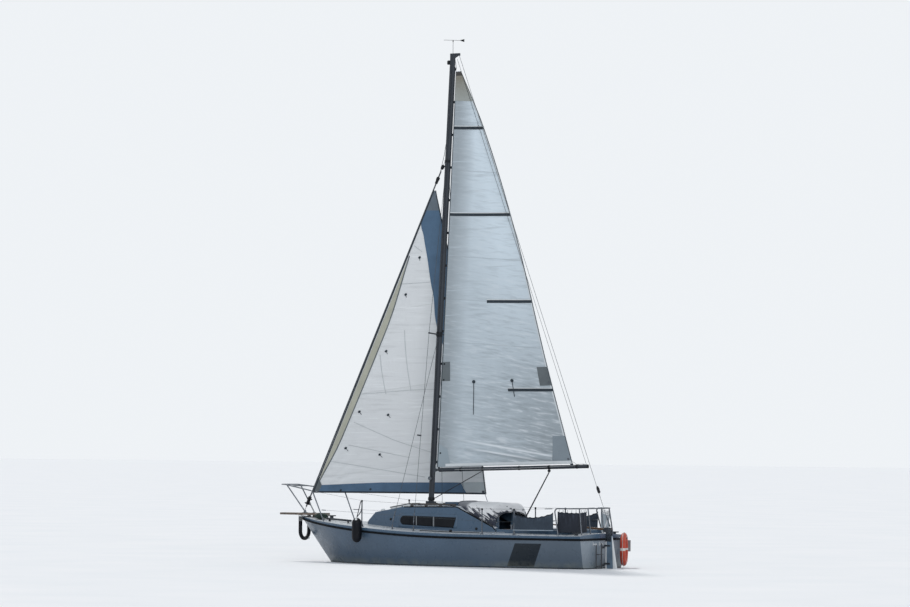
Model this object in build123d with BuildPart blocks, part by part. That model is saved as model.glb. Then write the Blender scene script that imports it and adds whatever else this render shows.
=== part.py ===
from build123d import *
import os
from math import atan2, cos, hypot, radians, sin, tan

# Small cabin sailing boat under sail, built upright.
# +X to the bow, +Y to port, +Z up. The origin is on the waterline and the centreline, amidships.
# All sizes are in millimetres.
os.makedirs("parts", exist_ok=True)

# Clearances
SEAT = 0.3
PIN_FIT = 0.05
SWING = 8.0

# Hull
LENGTH = 6900.0
BEAM = 2400.0
HULL_WALL = 30.0
STEM_RAKE = 38.3
STERN_SHEER_Z = 570.0
MID_SHEER_Z = 662.0
BOW_SHEER_Z = 868.0
STEM_X = LENGTH / 2
TRANSOM_X = -LENGTH / 2
HALF_BEAM = BEAM / 2

# Hull sections, stern to bow. x and half_beam are shares of the half length and half beam.
# x, lean, half_beam, edge_z, bilge_beam, bilge_z, keel_z, camber, bilge_radius, keel_radius
HULL_LINES = [
    (-1.000, 0, 0.788, 640, 0.667, -30, -60, 40, 160, 300),
    (-0.638, 0, 0.925, 640, 0.821, -120, -235, 50, 260, 400),
    (-0.203, 0, 1.000, 645, 0.888, -170, -330, 55, 300, 400),
    (0.203, 0, 0.963, 690, 0.792, -170, -350, 55, 300, 300),
    (0.522, 12, 0.760, 775, 0.500, -130, -310, 45, 260, 160),
    (0.696, 26, 0.455, 850, 0.225, -60, -210, 30, 140, 60),
    (0.803, STEM_RAKE, 0.018, 930, 0.013, -30, -70, 2, 6, 6),
]

# Rub rail
RAIL_OUT = 18.0
RAIL_HALF_HEIGHT = 20.0

# Cabin
FOREDECK_LENGTH = 1700.0
COCKPIT_LENGTH = 1790.0
STERN_DECK_LENGTH = 420.0
CABIN_WALL = 30.0
CABIN_TAPER = 9.0
CABIN_CAMBER = 50.0
CABIN_BASE_Z = 600.0
CABIN_FRONT_X = STEM_X - FOREDECK_LENGTH
COCKPIT_AFT_X = TRANSOM_X + STERN_DECK_LENGTH
BULKHEAD_X = COCKPIT_AFT_X + COCKPIT_LENGTH
BULKHEAD = 40.0
CABIN_FRONT_HALF = 430.0
CABIN_MID_HALF = 690.0
CABIN_AFT_HALF = 760.0
CABIN_MID_X = CABIN_FRONT_X - 900.0
ROOF_AFT_X = -520.0
COAMING_X = -1470.0
COAMING_Z = 742.0
ROOF_Z = 1150.0
KNUCKLE_Z = 1130.0
FRONT_TOP_Z = 1000.0
# Side profile of the cabin top: x, z
ROOF_LINE = [
    (CABIN_FRONT_X + 20, 700),
    (CABIN_FRONT_X - 290, FRONT_TOP_Z),
    (CABIN_FRONT_X - 1000, KNUCKLE_Z),
    (ROOF_AFT_X, ROOF_Z),
    (COAMING_X, COAMING_Z),
]

# Cabin windows: x of the forward end, x of the aft end
WINDOW_LOW_Z = 772.0
WINDOW_HIGH_Z = 1000.0
WINDOW_SLANT = 45.0
PANE_INSET = 8.0
PANE_THICK = 6.0
WINDOW_SPANS = [(770, 390), (360, -10), (-40, -510)]

# Cabin inside
BERTH_Z = 180.0
SOLE_Z = -140.0
SOLE_HALF = 250.0
SOLE_FORWARD_X = 1000.0
CAVITY_FORWARD_X = CABIN_FRONT_X - 30.0

# Companionway
DOOR_HALF = 270.0
TRUNK_HALF = 345.0
TRUNK_WALL = 40.0
TRUNK_TOP_Z = 1214.0
TRUNK_FORWARD_X = -600.0
HATCH_THICK = 20.0
HATCH_TRAVEL = 450.0
GARAGE_WALL = 15.0
WASHBOARD_THICK = 14.0
WASHBOARD_HEIGHT = 250.0

# Cockpit
WELL_HALF = 620.0
SEAT_Z = 440.0
BRIDGE_LENGTH = 320.0
FOOTWELL_HALF = 280.0
FOOTWELL_Z = 100.0
TUB_HALF = 745.0
TUB_BOTTOM_Z = 40.0
LOCKER_LENGTH = 1000.0
LOCKER_WIDTH = 240.0
LOCKER_DEPTH = 290.0
LID_OVERLAP = 18.0
LID_THICK = 20.0

# Fore hatch
FORE_HATCH = 400.0
FRAME_WIDTH = 25.0
FRAME_HEIGHT = 34.0
LID_RIM = 12.0
FORE_LID_THICK = 18.0

# Keel and rudder
KEEL_X = 120.0
KEEL_ROOT = 1500.0
KEEL_FOOT = 1050.0
KEEL_ROOT_THICK = 150.0
KEEL_FOOT_THICK = 110.0
DRAUGHT = 1100.0
RUDDER_GAP = 45.0
RUDDER_TOP_Z = 640.0
RUDDER_FOOT_Z = -900.0
RUDDER_THICK = 38.0
PIVOT_X = TRANSOM_X - RUDDER_GAP
PINTLE_RADIUS = 7.0
TILLER_LENGTH = 1150.0
TILLER_Z = 770.0

# Mast and rig
MAST_STEP_X = 445.0
MAST_RAKE = 2.7
MAST_TOP_Z = 10230.0
MAST_LONG = 118.0
MAST_WIDE = 84.0
HOUNDS_Z = 8090.0
SPREADER_Z = 4600.0
SPREADER_LENGTH = 510.0
STAY_RADIUS = 4.0
STEP_HEIGHT = 62.0

# Boom and mainsail
GOOSENECK_Z = 1890.0
BOOM_RISE = 1.8
BOOM_SWING = 12.0
BOOM_LENGTH = 3160.0
BOOM_RADIUS = 38.0
SAIL_THICK = 6.0
# Mainsail sections: height above the gooseneck along the mast, chord, camber share
MAIN_SECTIONS = [
    (60, 2830, 0.030),
    (2100, 2180, 0.075),
    (4700, 1410, 0.080),
    (6850, 630, 0.060),
    (8000, 95, 0.020),
]

# Headsail
STEM_FITTING_X = 3420.0
STEM_FITTING_Z = 1050.0
FOIL_RADIUS = 14.0
DRUM_RADIUS = 62.0
# Headsail sections: height, leech x, leech y, camber share
GENOA_SECTIONS = [
    (1400, -250, -1020, 0.100),
    (3300, -70, -830, 0.120),
    (5400, 150, -470, 0.110),
    (7500, 425, -45, 0.030),
]


# Window corners, fore hatch and locker edges
NOSE_RADIUS = 108.0
CORNER_RADIUS = 14.0
FORE_HATCH_X = 1040.0
TUB_WALL = 30.0
LID_EDGE_GAP = 32.0

# Coaming and companion hatch
COAMING_RIDGE = 90.0
COAMING_AFT_HALF = 730.0
HATCH_LAP = 30.0
HATCH_LIP = 40.0

# Keel, rudder fittings and tiller
KEEL_TOP_Z = -250.0
KEEL_SWEEP = 130.0
BLADE_GAP = 22.0
BLADE_CHORD = 275.0
BLADE_FOOT_CHORD = 240.0
HEAD_CHORD = 165.0
PINTLE_HEIGHTS = (430.0, 80.0)
PINTLE_LENGTH = 40.0
GUDGEON_RADIUS = 15.0
GUDGEON_HEIGHT = 28.0
GUDGEON_PLATE = 90.0
STRAP_REACH = 130.0
STRAP_THICK = 4.0
STRAP_HEIGHT = 34.0
TILLER_RISE = 70.0

# Boarding ladder
LADDER_X = TRANSOM_X - 62.0
LADDER_Y = 270.0
LADDER_HALF = 130.0
LADDER_TOP_Z = 480.0
LADDER_FOOT_Z = -230.0
LADDER_STEPS = (290.0, 60.0, -170.0)

# Mast, spreaders and shrouds
TAPER_Z = 7900.0
STEP_LONG = 190.0
STEP_WIDE = 150.0
SPREADER_SWEEP = 60.0
SPREADER_RISE = 20.0
SPREADER_RADIUS = 14.0
# Feet of the cap and the lower shroud: x, y, z
SHROUD_FEET = [(240.0, HALF_BEAM - 170, 770.0), (750.0, HALF_BEAM - 210, 800.0)]

# Backstay, masthead and vane
BACKSTAY_FOOT = (TRANSOM_X + 50.0, -430.0, 740.0)
CRANE_REACH = 150.0
VANE_PIN = 4.0
VANE_HEIGHT = 260.0
VANE_HEADING = 40.0
VANE_TAIL = 210.0
VANE_NOSE = 190.0

# Mast track, slides and gooseneck. The track ends below the masthead by TRACK_HEAD_GAP.
LOWER_DROP = 60.0
TIP_BALL = 18.0
TRACK_THICK = 10.0
TRACK_START = 110.0
TRACK_HEAD_GAP = 259.0
SLIDE_RADIUS = 12.0
SLIDE_HEIGHT = 50.0
SLIDES = 13
GOOSE_GAP = 44.0
GOOSE_PLATE = 6.0
GOOSE_RADIUS = 16.0
GOOSE_PIN = 6.0
BOOM_START = 60.0

# Sail edges and furling gear
FOOT_HEIGHT = 60.0
LUFF_IN = 9.0
FOIL_START = 70.0
FOIL_LENGTH = 7450.0
DRUM_START = 130.0
DRUM_HEIGHT = 120.0
DRUM_FLANGE = 8.0
SWIVEL_START = 7250.0
SWIVEL_HEIGHT = 110.0
SWIVEL_RADIUS = 28.0

# Bow platform
PLATFORM_Z = 985.0
PLATFORM_THICK = 40.0
PLATFORM_AFT_X = STEM_X - 500.0
PLATFORM_WAIST_X = STEM_X - 90.0
PLATFORM_TIP_X = STEM_X + 540.0
PLATFORM_HALF = 205.0
PLATFORM_TIP_HALF = 110.0
PLATFORM_PAD = 60.0

# Pulpit and bow fender
PULPIT_LEG_X = 2540.0
PULPIT_LEG_HALF = 600.0
PULPIT_AFT_X = 2860.0
PULPIT_AFT_HALF = 620.0
PULPIT_AFT_Z = 1440.0
PULPIT_BEND_X = 3750.0
PULPIT_BEND_HALF = 240.0
PULPIT_TIP_X = 3920.0
PULPIT_TIP_HALF = 110.0
PULPIT_FRONT_X = 3300.0
PULPIT_FRONT_HALF = 165.0
PULPIT_FRONT_TOP_X = 3700.0
PULPIT_BAR_X = 3570.0
FOOT_RADIUS = 30.0
FOOT_THICK = 5.0
BOW_FENDER_X = 3425.0
BOW_FENDER_HALF = 165.0
BOW_FENDER_DROP = 480.0
BOW_FENDER_RADIUS = 38.0

# Pushpit and stanchions
PUSHPIT_FOOT_X = -2970.0
PUSHPIT_FOOT_HALF = HALF_BEAM - 270
PUSHPIT_FRONT_X = -2840.0
PUSHPIT_HALF = HALF_BEAM - 340
PUSHPIT_AFT_X = -3270.0
PUSHPIT_CORNER = 300.0
# Pushpit legs: x and y at the rail, x and y at the foot
PUSHPIT_LEGS = [(-3262.0, 620.0, -3340.0, 660.0), (-3270.0, 280.0, -3340.0, 280.0)]
# Stanchions: x, y, deck height
STANCHIONS = [
    (1500.0, HALF_BEAM - 275, 770.0),
    (-1350.0, HALF_BEAM - 115, 650.0),
    (-2050.0, HALF_BEAM - 150, 650.0),
]

# Cloths on the rails
CLOTH_THICK = 5.0
WEATHER_END_X = -2850.0
WEATHER_END_HALF = HALF_BEAM - 275
WEATHER_LOW_Z = 730.0
WEATHER_HIGH_Z = 1060.0
WEATHER_SAG = 90.0
STERN_CLOTH_PORT_X = -2900.0
STERN_CLOTH_STARBOARD_X = -2960.0
STERN_CLOTH_END = 300.0
STERN_CLOTH_LOW_Z = 700.0
STERN_CLOTH_HIGH_Z = 1130.0

# Fender and lifebuoy
FENDER_X = 1505.0
FENDER_Y = HALF_BEAM - 92.0
FENDER_Z = 680.0
FENDER_LENGTH = 490.0
FENDER_RADIUS = 98.0
BUOY_X = -3640.0
BUOY_Y = -540.0
BUOY_Z = 370.0
BUOY_TURN = 22.0
BUOY_MAJOR = 270.0
BUOY_MINOR = 55.0
LIGHT_X = -3545.0
LIGHT_Y = -900.0
LIGHT_Z = 430.0
LIGHT_HEIGHT = 220.0
LIGHT_RADIUS = 48.0

# Sprayhood
HOOD_THICK = 8.0
# Sprayhood sections, aft to front: x, half width, shoulder share, base height, top height
HOOD_SECTIONS = [
    (-1430.0, 690.0, 0.60, 770.0, 1110.0),
    (-1310.0, 700.0, 0.60, 800.0, 1264.0),
    (-820.0, 650.0, 0.64, 1010.0, 1288.0),
    (-430.0, 420.0, 0.94, 1190.0, 1273.0),
]

# Deck fittings
WINCH_X = -1800.0
WINCH_Y = 680.0
# Horn cleats: x, y, height of the horn
CLEATS = [(2780.0, 0.0, 935.0), (-3290.0, 790.0, 700.0), (-3290.0, -790.0, 700.0)]
TRACK_RISE = 12.0
TRACK_AFT_X = -1200.0
TRACK_FRONT_X = 150.0
TRACK_Y = HALF_BEAM - 270
GRAB_AFT_X = -420.0
GRAB_FRONT_X = 620.0
GRAB_Y = 500.0
GRAB_Z = 1225.0
GRAB_FEET = 4
TRAVELLER_BACK = 200.0
TRAVELLER_HALF = 560.0
MAST_WINCH_Z = 1720.0

# Tubes on deck
RAIL_TUBE = 12.5
PULPIT_Z = 1560.0
PUSHPIT_Z = 1170.0
STANCHION_HEIGHT = 500.0


def mast_x(z):
    return MAST_STEP_X - (z - ROOF_Z) * tan(radians(MAST_RAKE))


def station(share, lean):
    a = radians(lean)
    return Plane(origin=(share * STEM_X, 0, 0), x_dir=(0, 1, 0), z_dir=(cos(a), 0, -sin(a)))


def hull_form(grow=0.0, sections=HULL_LINES):
    # The whole closed outside of hull and deck, larger all round by grow.
    with BuildPart() as form:
        for x, lean, half_beam, edge_z, bilge, bilge_z, keel_z, camber, bilge_r, keel_r in sections:
            up = 1 / cos(radians(lean))
            edge = (half_beam * HALF_BEAM + grow, (edge_z + grow) * up)
            turn = (bilge * HALF_BEAM + grow, (bilge_z - grow / 2) * up)
            middle = (0, (keel_z - grow) * up)
            shift = -grow / STEM_X if x == -1.0 else grow / STEM_X if lean == STEM_RAKE else 0
            with BuildSketch(station(x + shift, lean)):
                with BuildLine():
                    FilletPolyline(
                        edge, turn, middle, (-turn[0], turn[1]), (-edge[0], edge[1]),
                        radius=[bilge_r, keel_r, bilge_r],
                    )
                    ThreePointArc((-edge[0], edge[1]), (0, edge[1] + camber * up), edge)
                make_face()
        loft()
    return form.part


def sheer_band(low, high):
    # Everything between two curves that run parallel to the sheer, across the whole beam.
    with BuildPart() as band:
        with BuildSketch(Plane.XZ):
            with BuildLine():
                for shift in (low, high):
                    Line((TRANSOM_X - 300, STERN_SHEER_Z + shift), (-1000, STERN_SHEER_Z + shift))
                    ThreePointArc(
                        (-1000, STERN_SHEER_Z + shift),
                        (1500, MID_SHEER_Z + shift),
                        (STEM_X + 50, BOW_SHEER_Z + shift),
                    )
                    Line((STEM_X + 50, BOW_SHEER_Z + shift), (STEM_X + 400, BOW_SHEER_Z + shift))
                Line((TRANSOM_X - 300, STERN_SHEER_Z + low), (TRANSOM_X - 300, STERN_SHEER_Z + high))
                Line((STEM_X + 400, BOW_SHEER_Z + low), (STEM_X + 400, BOW_SHEER_Z + high))
            make_face()
        extrude(amount=BEAM, both=True)
    return band.part


def cabin_form(inset=0.0, aft_x=COAMING_X):
    # The closed outside of the cabin top, smaller all round by inset.
    front = CABIN_FRONT_X
    with BuildPart() as form:
        with BuildSketch(Plane.XY.offset(CABIN_BASE_Z)):
            with BuildLine():
                FilletPolyline(
                    (aft_x, -CABIN_AFT_HALF + inset),
                    (CABIN_MID_X, -CABIN_MID_HALF + inset),
                    (front - inset, -CABIN_FRONT_HALF + inset),
                    (front - inset, CABIN_FRONT_HALF - inset),
                    (CABIN_MID_X, CABIN_MID_HALF - inset),
                    (aft_x, CABIN_AFT_HALF - inset),
                    radius=[1200, 160, 160, 1200],
                )
                Line((aft_x, CABIN_AFT_HALF - inset), (aft_x, -CABIN_AFT_HALF + inset))
            make_face()
        extrude(amount=ROOF_Z, taper=CABIN_TAPER)
        for (x0, z0), (x1, z1) in zip(ROOF_LINE[:-1], ROOF_LINE[1:]):
            run = Vector(x1 - x0, 0, z1 - z0)
            slope = Plane(origin=(x0, 0, z0), x_dir=(0, 1, 0), z_dir=(-run.X, 0, -run.Z))
            with BuildSketch(slope):
                with BuildLine():
                    ThreePointArc((-BEAM, -inset - 9.0 * CABIN_CAMBER), (0, CABIN_CAMBER - inset),
                                  (BEAM, -inset - 9.0 * CABIN_CAMBER))
                    Polyline((BEAM, -inset - 9.0 * CABIN_CAMBER), (BEAM, -LENGTH), (-BEAM, -LENGTH),
                             (-BEAM, -inset - 9.0 * CABIN_CAMBER))
                make_face()
            extrude(amount=LENGTH, both=True, mode=Mode.INTERSECT)
    return form.part


def block(low, high):
    # A plain box between two corners.
    middle = tuple((a + b) / 2 for a, b in zip(low, high))
    with BuildPart() as box:
        with Locations(middle):
            Box(high[0] - low[0], high[1] - low[1], high[2] - low[2])
    return box.part


def tube(points, bend, radius):
    # A round tube or rod along straight runs with bends.
    with BuildPart() as piece:
        with BuildLine() as path:
            if len(points) > 2:
                FilletPolyline(*points, radius=bend)
            else:
                Line(*points)
        with BuildSketch(Plane(origin=path.line @ 0, z_dir=path.line % 0)):
            Circle(radius)
        sweep(path=path.wire())
    return piece.part


def rod(start, end, radius):
    return tube([start, end], 0, radius)


def save(piece, name):
    piece.label = name
    export_step(piece, f"parts/{name}.step")


hull_outside = hull_form()
hull_clear = hull_form(SEAT)
cabin_outside = cabin_form()
cabin_clear = cabin_form(-SEAT)
with BuildPart() as cabin_room:
    add(cabin_form(CABIN_WALL, COAMING_X))
    add(block((BULKHEAD_X, -BEAM, 0), (STEM_X, BEAM, BEAM)), mode=Mode.INTERSECT)
cabin_inside = cabin_room.part

# Hull: a decked shell, solid forward of the cabin, with the cabin's inside and the cockpit's well cut out
inner_sections = HULL_LINES[:-1]
with BuildPart() as cabin_cavity:
    add(hull_form(-HULL_WALL, inner_sections))
    add(block((BULKHEAD_X, -HALF_BEAM, BERTH_Z), (CAVITY_FORWARD_X, HALF_BEAM, BEAM)), mode=Mode.INTERSECT)
with BuildPart() as hull:
    add(hull_outside)
    add(sheer_band(-BEAM, 0), mode=Mode.INTERSECT)
    add(cabin_cavity.part, mode=Mode.SUBTRACT)
    add(block((BULKHEAD_X, -SOLE_HALF, SOLE_Z), (SOLE_FORWARD_X, SOLE_HALF, BEAM)), mode=Mode.SUBTRACT)
    add(block((COCKPIT_AFT_X - SEAT, -TUB_HALF - SEAT, TUB_BOTTOM_Z - SEAT),
              (BULKHEAD_X - BULKHEAD + SEAT, TUB_HALF + SEAT, BEAM)), mode=Mode.SUBTRACT)
    add(block((BULKHEAD_X - 2 * BULKHEAD, -DOOR_HALF, SEAT_Z + 40), (BULKHEAD_X + 1, DOOR_HALF, BEAM)),
        mode=Mode.SUBTRACT)
save(hull.part, "hull")

# Deck with its openings for the cabin and the cockpit
with BuildPart() as deck:
    add(hull_outside)
    add(sheer_band(SEAT, BEAM), mode=Mode.INTERSECT)
    add(cabin_inside, mode=Mode.SUBTRACT)
    with BuildSketch(Plane.XY.offset(0)):
        add(cabin_inside.faces().sort_by(Axis.Z)[0])
    extrude(amount=ROOF_Z, mode=Mode.SUBTRACT)
    add(block((COCKPIT_AFT_X, -WELL_HALF, 0), (BULKHEAD_X - BULKHEAD, WELL_HALF, ROOF_Z)),
        mode=Mode.SUBTRACT)
    add(block((BULKHEAD_X - 2 * BULKHEAD, -DOOR_HALF, 0), (BULKHEAD_X + 1, DOOR_HALF, ROOF_Z)),
        mode=Mode.SUBTRACT)
save(deck.part, "deck")

# Cabin top: one shell with its windows, hatches and companionway cut
def window_prisms(clearance=0.0):
    with BuildPart() as prisms:
        for front, aft in WINDOW_SPANS:
            nose = NOSE_RADIUS if front == WINDOW_SPANS[0][0] else CORNER_RADIUS
            slant = WINDOW_SLANT if aft == WINDOW_SPANS[-1][1] else 0
            low, high = WINDOW_LOW_Z + clearance, WINDOW_HIGH_Z - clearance
            with BuildSketch(Plane.XZ):
                with BuildLine():
                    FilletPolyline(
                        (front - clearance, low), (aft + slant + clearance, low),
                        (aft + clearance, high), (front - clearance, high),
                        radius=[CORNER_RADIUS, CORNER_RADIUS, nose, nose], close=True,
                    )
                make_face()
            extrude(amount=BEAM, both=True)
    return prisms.part


def roof_z(x):
    for (x0, z0), (x1, z1) in zip(ROOF_LINE[:-1], ROOF_LINE[1:]):
        if x1 <= x <= x0:
            return z0 + (z1 - z0) * (x0 - x) / (x0 - x1) + CABIN_CAMBER
    return ROOF_Z + CABIN_CAMBER


hatch_slope = atan2(KNUCKLE_Z - FRONT_TOP_Z, ROOF_LINE[1][0] - ROOF_LINE[2][0])
hatch_plane = Plane(
    origin=(FORE_HATCH_X, 0, roof_z(FORE_HATCH_X)),
    x_dir=(cos(hatch_slope), 0, -sin(hatch_slope)),
    z_dir=(sin(hatch_slope), 0, cos(hatch_slope)),
)
trunk_aft_x = BULKHEAD_X - BULKHEAD
with BuildPart() as coachroof:
    add(cabin_outside)
    add(block((trunk_aft_x, -TRUNK_HALF, CABIN_BASE_Z), (TRUNK_FORWARD_X, TRUNK_HALF, TRUNK_TOP_Z)))
    add(cabin_inside, mode=Mode.SUBTRACT)
    add(hull_clear, mode=Mode.SUBTRACT)
    add(block((COAMING_X - 1, -WELL_HALF, 0), (trunk_aft_x, WELL_HALF, BEAM)), mode=Mode.SUBTRACT)
    add(block((BULKHEAD_X, -TRUNK_HALF + TRUNK_WALL, CABIN_BASE_Z),
              (TRUNK_FORWARD_X - TRUNK_WALL, TRUNK_HALF - TRUNK_WALL, BEAM)), mode=Mode.SUBTRACT)
    add(block((trunk_aft_x - 1, -DOOR_HALF, 0), (BULKHEAD_X + 1, DOOR_HALF, BEAM)), mode=Mode.SUBTRACT)
    add(window_prisms(), mode=Mode.SUBTRACT)
    with BuildSketch(hatch_plane):
        Rectangle(FORE_HATCH, FORE_HATCH)
    extrude(amount=CABIN_WALL * 4, both=True, mode=Mode.SUBTRACT)
save(coachroof.part, "coachroof")

with BuildPart() as windows:
    add(cabin_form(PANE_INSET))
    add(cabin_form(PANE_INSET + PANE_THICK), mode=Mode.SUBTRACT)
    add(window_prisms(SEAT), mode=Mode.INTERSECT)
save(windows.part, "windows")

# Cockpit tub with its seats, footwell and lockers
tub_aft_x = COCKPIT_AFT_X
tub_front_x = trunk_aft_x
footwell_front_x = tub_front_x - BRIDGE_LENGTH
locker_x = (footwell_front_x + tub_aft_x) / 2
locker_y = (FOOTWELL_HALF + WELL_HALF) / 2
with BuildPart() as cockpit:
    add(block((tub_aft_x, -TUB_HALF, TUB_BOTTOM_Z), (tub_front_x, TUB_HALF, BEAM)))
    add(sheer_band(-BEAM, 0), mode=Mode.INTERSECT)
    add(block((tub_aft_x + TUB_WALL, -WELL_HALF, SEAT_Z), (tub_front_x + 1, WELL_HALF, BEAM)),
        mode=Mode.SUBTRACT)
    add(block((tub_aft_x + TUB_WALL, -FOOTWELL_HALF, FOOTWELL_Z),
              (footwell_front_x, FOOTWELL_HALF, BEAM)), mode=Mode.SUBTRACT)
    with Locations((locker_x, locker_y, SEAT_Z), (locker_x, -locker_y, SEAT_Z)):
        Box(LOCKER_LENGTH, LOCKER_WIDTH, 2 * LOCKER_DEPTH, mode=Mode.SUBTRACT)
save(cockpit.part, "cockpit")

lid_edge_y = WELL_HALF - LID_EDGE_GAP
with BuildPart() as lid:
    with BuildSketch(Plane.XY.offset(SEAT_Z + SEAT)):
        with Locations((locker_x, (locker_y - LOCKER_WIDTH / 2 - LID_OVERLAP + lid_edge_y) / 2)):
            RectangleRounded(LOCKER_LENGTH + 2 * LID_OVERLAP,
                             lid_edge_y - locker_y + LOCKER_WIDTH / 2 + LID_OVERLAP, 20)
    extrude(amount=LID_THICK)
save(lid.part, "locker_lid_port")
save(mirror(lid.part, about=Plane.XZ), "locker_lid_starboard")

# Coaming round the cockpit
with BuildPart() as coaming:
    with BuildSketch(Plane.XY.offset(CABIN_BASE_Z)):
        with BuildLine():
            FilletPolyline(
                (COAMING_X - SEAT, CABIN_AFT_HALF),
                (tub_aft_x - COAMING_RIDGE, COAMING_AFT_HALF),
                (tub_aft_x - COAMING_RIDGE, -COAMING_AFT_HALF),
                (COAMING_X - SEAT, -CABIN_AFT_HALF),
                radius=140,
            )
            Line((COAMING_X - SEAT, -CABIN_AFT_HALF), (COAMING_X - SEAT, CABIN_AFT_HALF))
        make_face()
    extrude(amount=COAMING_Z - CABIN_BASE_Z, taper=CABIN_TAPER)
    add(block((tub_aft_x, -WELL_HALF, 0), (0, WELL_HALF, BEAM)), mode=Mode.SUBTRACT)
    add(cabin_clear, mode=Mode.SUBTRACT)
    add(hull_clear, mode=Mode.SUBTRACT)
save(coaming.part, "coaming")

# Rub rail round the sheer
with BuildPart() as rub_rail:
    add(hull_form(RAIL_OUT))
    add(sheer_band(-RAIL_HALF_HEIGHT, RAIL_HALF_HEIGHT), mode=Mode.INTERSECT)
    add(hull_clear, mode=Mode.SUBTRACT)
save(rub_rail.part, "rub_rail")

# Companionway: sliding hatch, its garage and the lower washboard
hatch_z = TRUNK_TOP_Z + SEAT
hatch_front_x = TRUNK_FORWARD_X + HATCH_LAP
hatch_aft_x = trunk_aft_x - HATCH_LAP
with BuildPart() as companion_hatch:
    with BuildSketch(Plane.XY.offset(hatch_z)):
        with Locations(((hatch_front_x + hatch_aft_x) / 2, 0)):
            RectangleRounded(hatch_front_x - hatch_aft_x, 2 * TRUNK_HALF, 15)
    extrude(amount=HATCH_THICK)
    with BuildSketch(Plane.XY.offset(hatch_z - HATCH_LIP)):
        with Locations((hatch_aft_x + HATCH_THICK / 4, 0)):
            Rectangle(HATCH_THICK / 2, 2 * DOOR_HALF)
    extrude(amount=HATCH_LIP + HATCH_THICK / 2)
save(companion_hatch.part, "companion_hatch")

garage_half = TRUNK_HALF + SWING
garage_front_x = hatch_front_x + HATCH_TRAVEL + SWING
garage_z = hatch_z + HATCH_THICK + SWING
with BuildPart() as hatch_garage:
    add(block((TRUNK_FORWARD_X, -garage_half - GARAGE_WALL, ROOF_Z - 50),
              (garage_front_x + GARAGE_WALL, garage_half + GARAGE_WALL, garage_z + GARAGE_WALL)))
    add(block((TRUNK_FORWARD_X - 1, -garage_half, ROOF_Z - 60), (garage_front_x, garage_half, garage_z)),
        mode=Mode.SUBTRACT)
    add(cabin_clear, mode=Mode.SUBTRACT)
save(hatch_garage.part, "hatch_garage")

washboard_z = SEAT_Z + 40 + SEAT
with BuildPart() as washboard:
    add(block((trunk_aft_x + BULKHEAD / 2, -DOOR_HALF + SEAT, washboard_z),
              (trunk_aft_x + BULKHEAD / 2 + WASHBOARD_THICK, DOOR_HALF - SEAT,
               washboard_z + WASHBOARD_HEIGHT)))
save(washboard.part, "washboard")

# Fore hatch: frame and lid
lid_side = FORE_HATCH + 2 * (FRAME_WIDTH + LID_RIM)
with BuildPart() as fore_hatch_frame:
    with BuildSketch(hatch_plane.offset(-CABIN_WALL * 2)):
        RectangleRounded(FORE_HATCH + 2 * FRAME_WIDTH, FORE_HATCH + 2 * FRAME_WIDTH, 30)
        Rectangle(FORE_HATCH, FORE_HATCH, mode=Mode.SUBTRACT)
    extrude(amount=CABIN_WALL * 2 + FRAME_HEIGHT)
    add(cabin_clear, mode=Mode.SUBTRACT)
save(fore_hatch_frame.part, "fore_hatch_frame")
with BuildPart() as fore_hatch_lid:
    with BuildSketch(hatch_plane.offset(FRAME_HEIGHT + SEAT)):
        RectangleRounded(lid_side, lid_side, 40)
    extrude(amount=FORE_LID_THICK)
    fillet(fore_hatch_lid.faces().sort_by(Axis.Z)[-1].edges(), 6)
save(fore_hatch_lid.part, "fore_hatch_lid")

# Keel: a ballast fin on the hull's bottom with a flat foot
def foil(length, thick):
    # Elliptical nose forward and a thin tail aft, about the middle of its length.
    tail = -length / 2
    widest = length * 0.15
    with BuildLine() as outline:
        EllipticalCenterArc((widest, 0), length / 2 - widest, thick / 2, start_angle=-90, arc_size=180)
        ThreePointArc((widest, thick / 2), ((widest + tail) / 2, thick * 0.36), (tail, thick * 0.04))
        Line((tail, thick * 0.04), (tail, -thick * 0.04))
        ThreePointArc((tail, -thick * 0.04), ((widest + tail) / 2, -thick * 0.36), (widest, -thick / 2))
    return outline.line


with BuildPart() as keel:
    with BuildSketch(Plane(origin=(KEEL_X, 0, KEEL_TOP_Z))):
        add(foil(KEEL_ROOT, KEEL_ROOT_THICK))
        make_face()
    with BuildSketch(Plane(origin=(KEEL_X - KEEL_SWEEP, 0, -DRAUGHT))):
        add(foil(KEEL_FOOT, KEEL_FOOT_THICK))
        make_face()
    loft(ruled=True)
    add(hull_clear, mode=Mode.SUBTRACT)
save(keel.part, "keel")

# Rudder hung on the transom: blade, pintles, and gudgeons on the hull
with BuildPart() as rudder_blade:
    with BuildSketch(Plane.XZ):
        with BuildLine():
            FilletPolyline(
                (PIVOT_X - BLADE_GAP, RUDDER_TOP_Z), (PIVOT_X - BLADE_GAP, RUDDER_FOOT_Z + 120),
                (PIVOT_X - BLADE_GAP - 60, RUDDER_FOOT_Z),
                (PIVOT_X - BLADE_FOOT_CHORD, RUDDER_FOOT_Z),
                (PIVOT_X - BLADE_CHORD, 0), (PIVOT_X - HEAD_CHORD, RUDDER_TOP_Z),
                radius=[30, 30, 60, 200], close=False,
            )
            Line((PIVOT_X - HEAD_CHORD, RUDDER_TOP_Z), (PIVOT_X - BLADE_GAP, RUDDER_TOP_Z))
        make_face()
    extrude(amount=RUDDER_THICK / 2, both=True)
    side_edges = rudder_blade.faces().filter_by(Axis.Y)[0].edges() + rudder_blade.faces().filter_by(
        Axis.Y)[1].edges()
    chamfer(side_edges, RUDDER_THICK * 0.22, RUDDER_THICK * 0.6)
save(rudder_blade.part, "rudder_blade")

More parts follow.
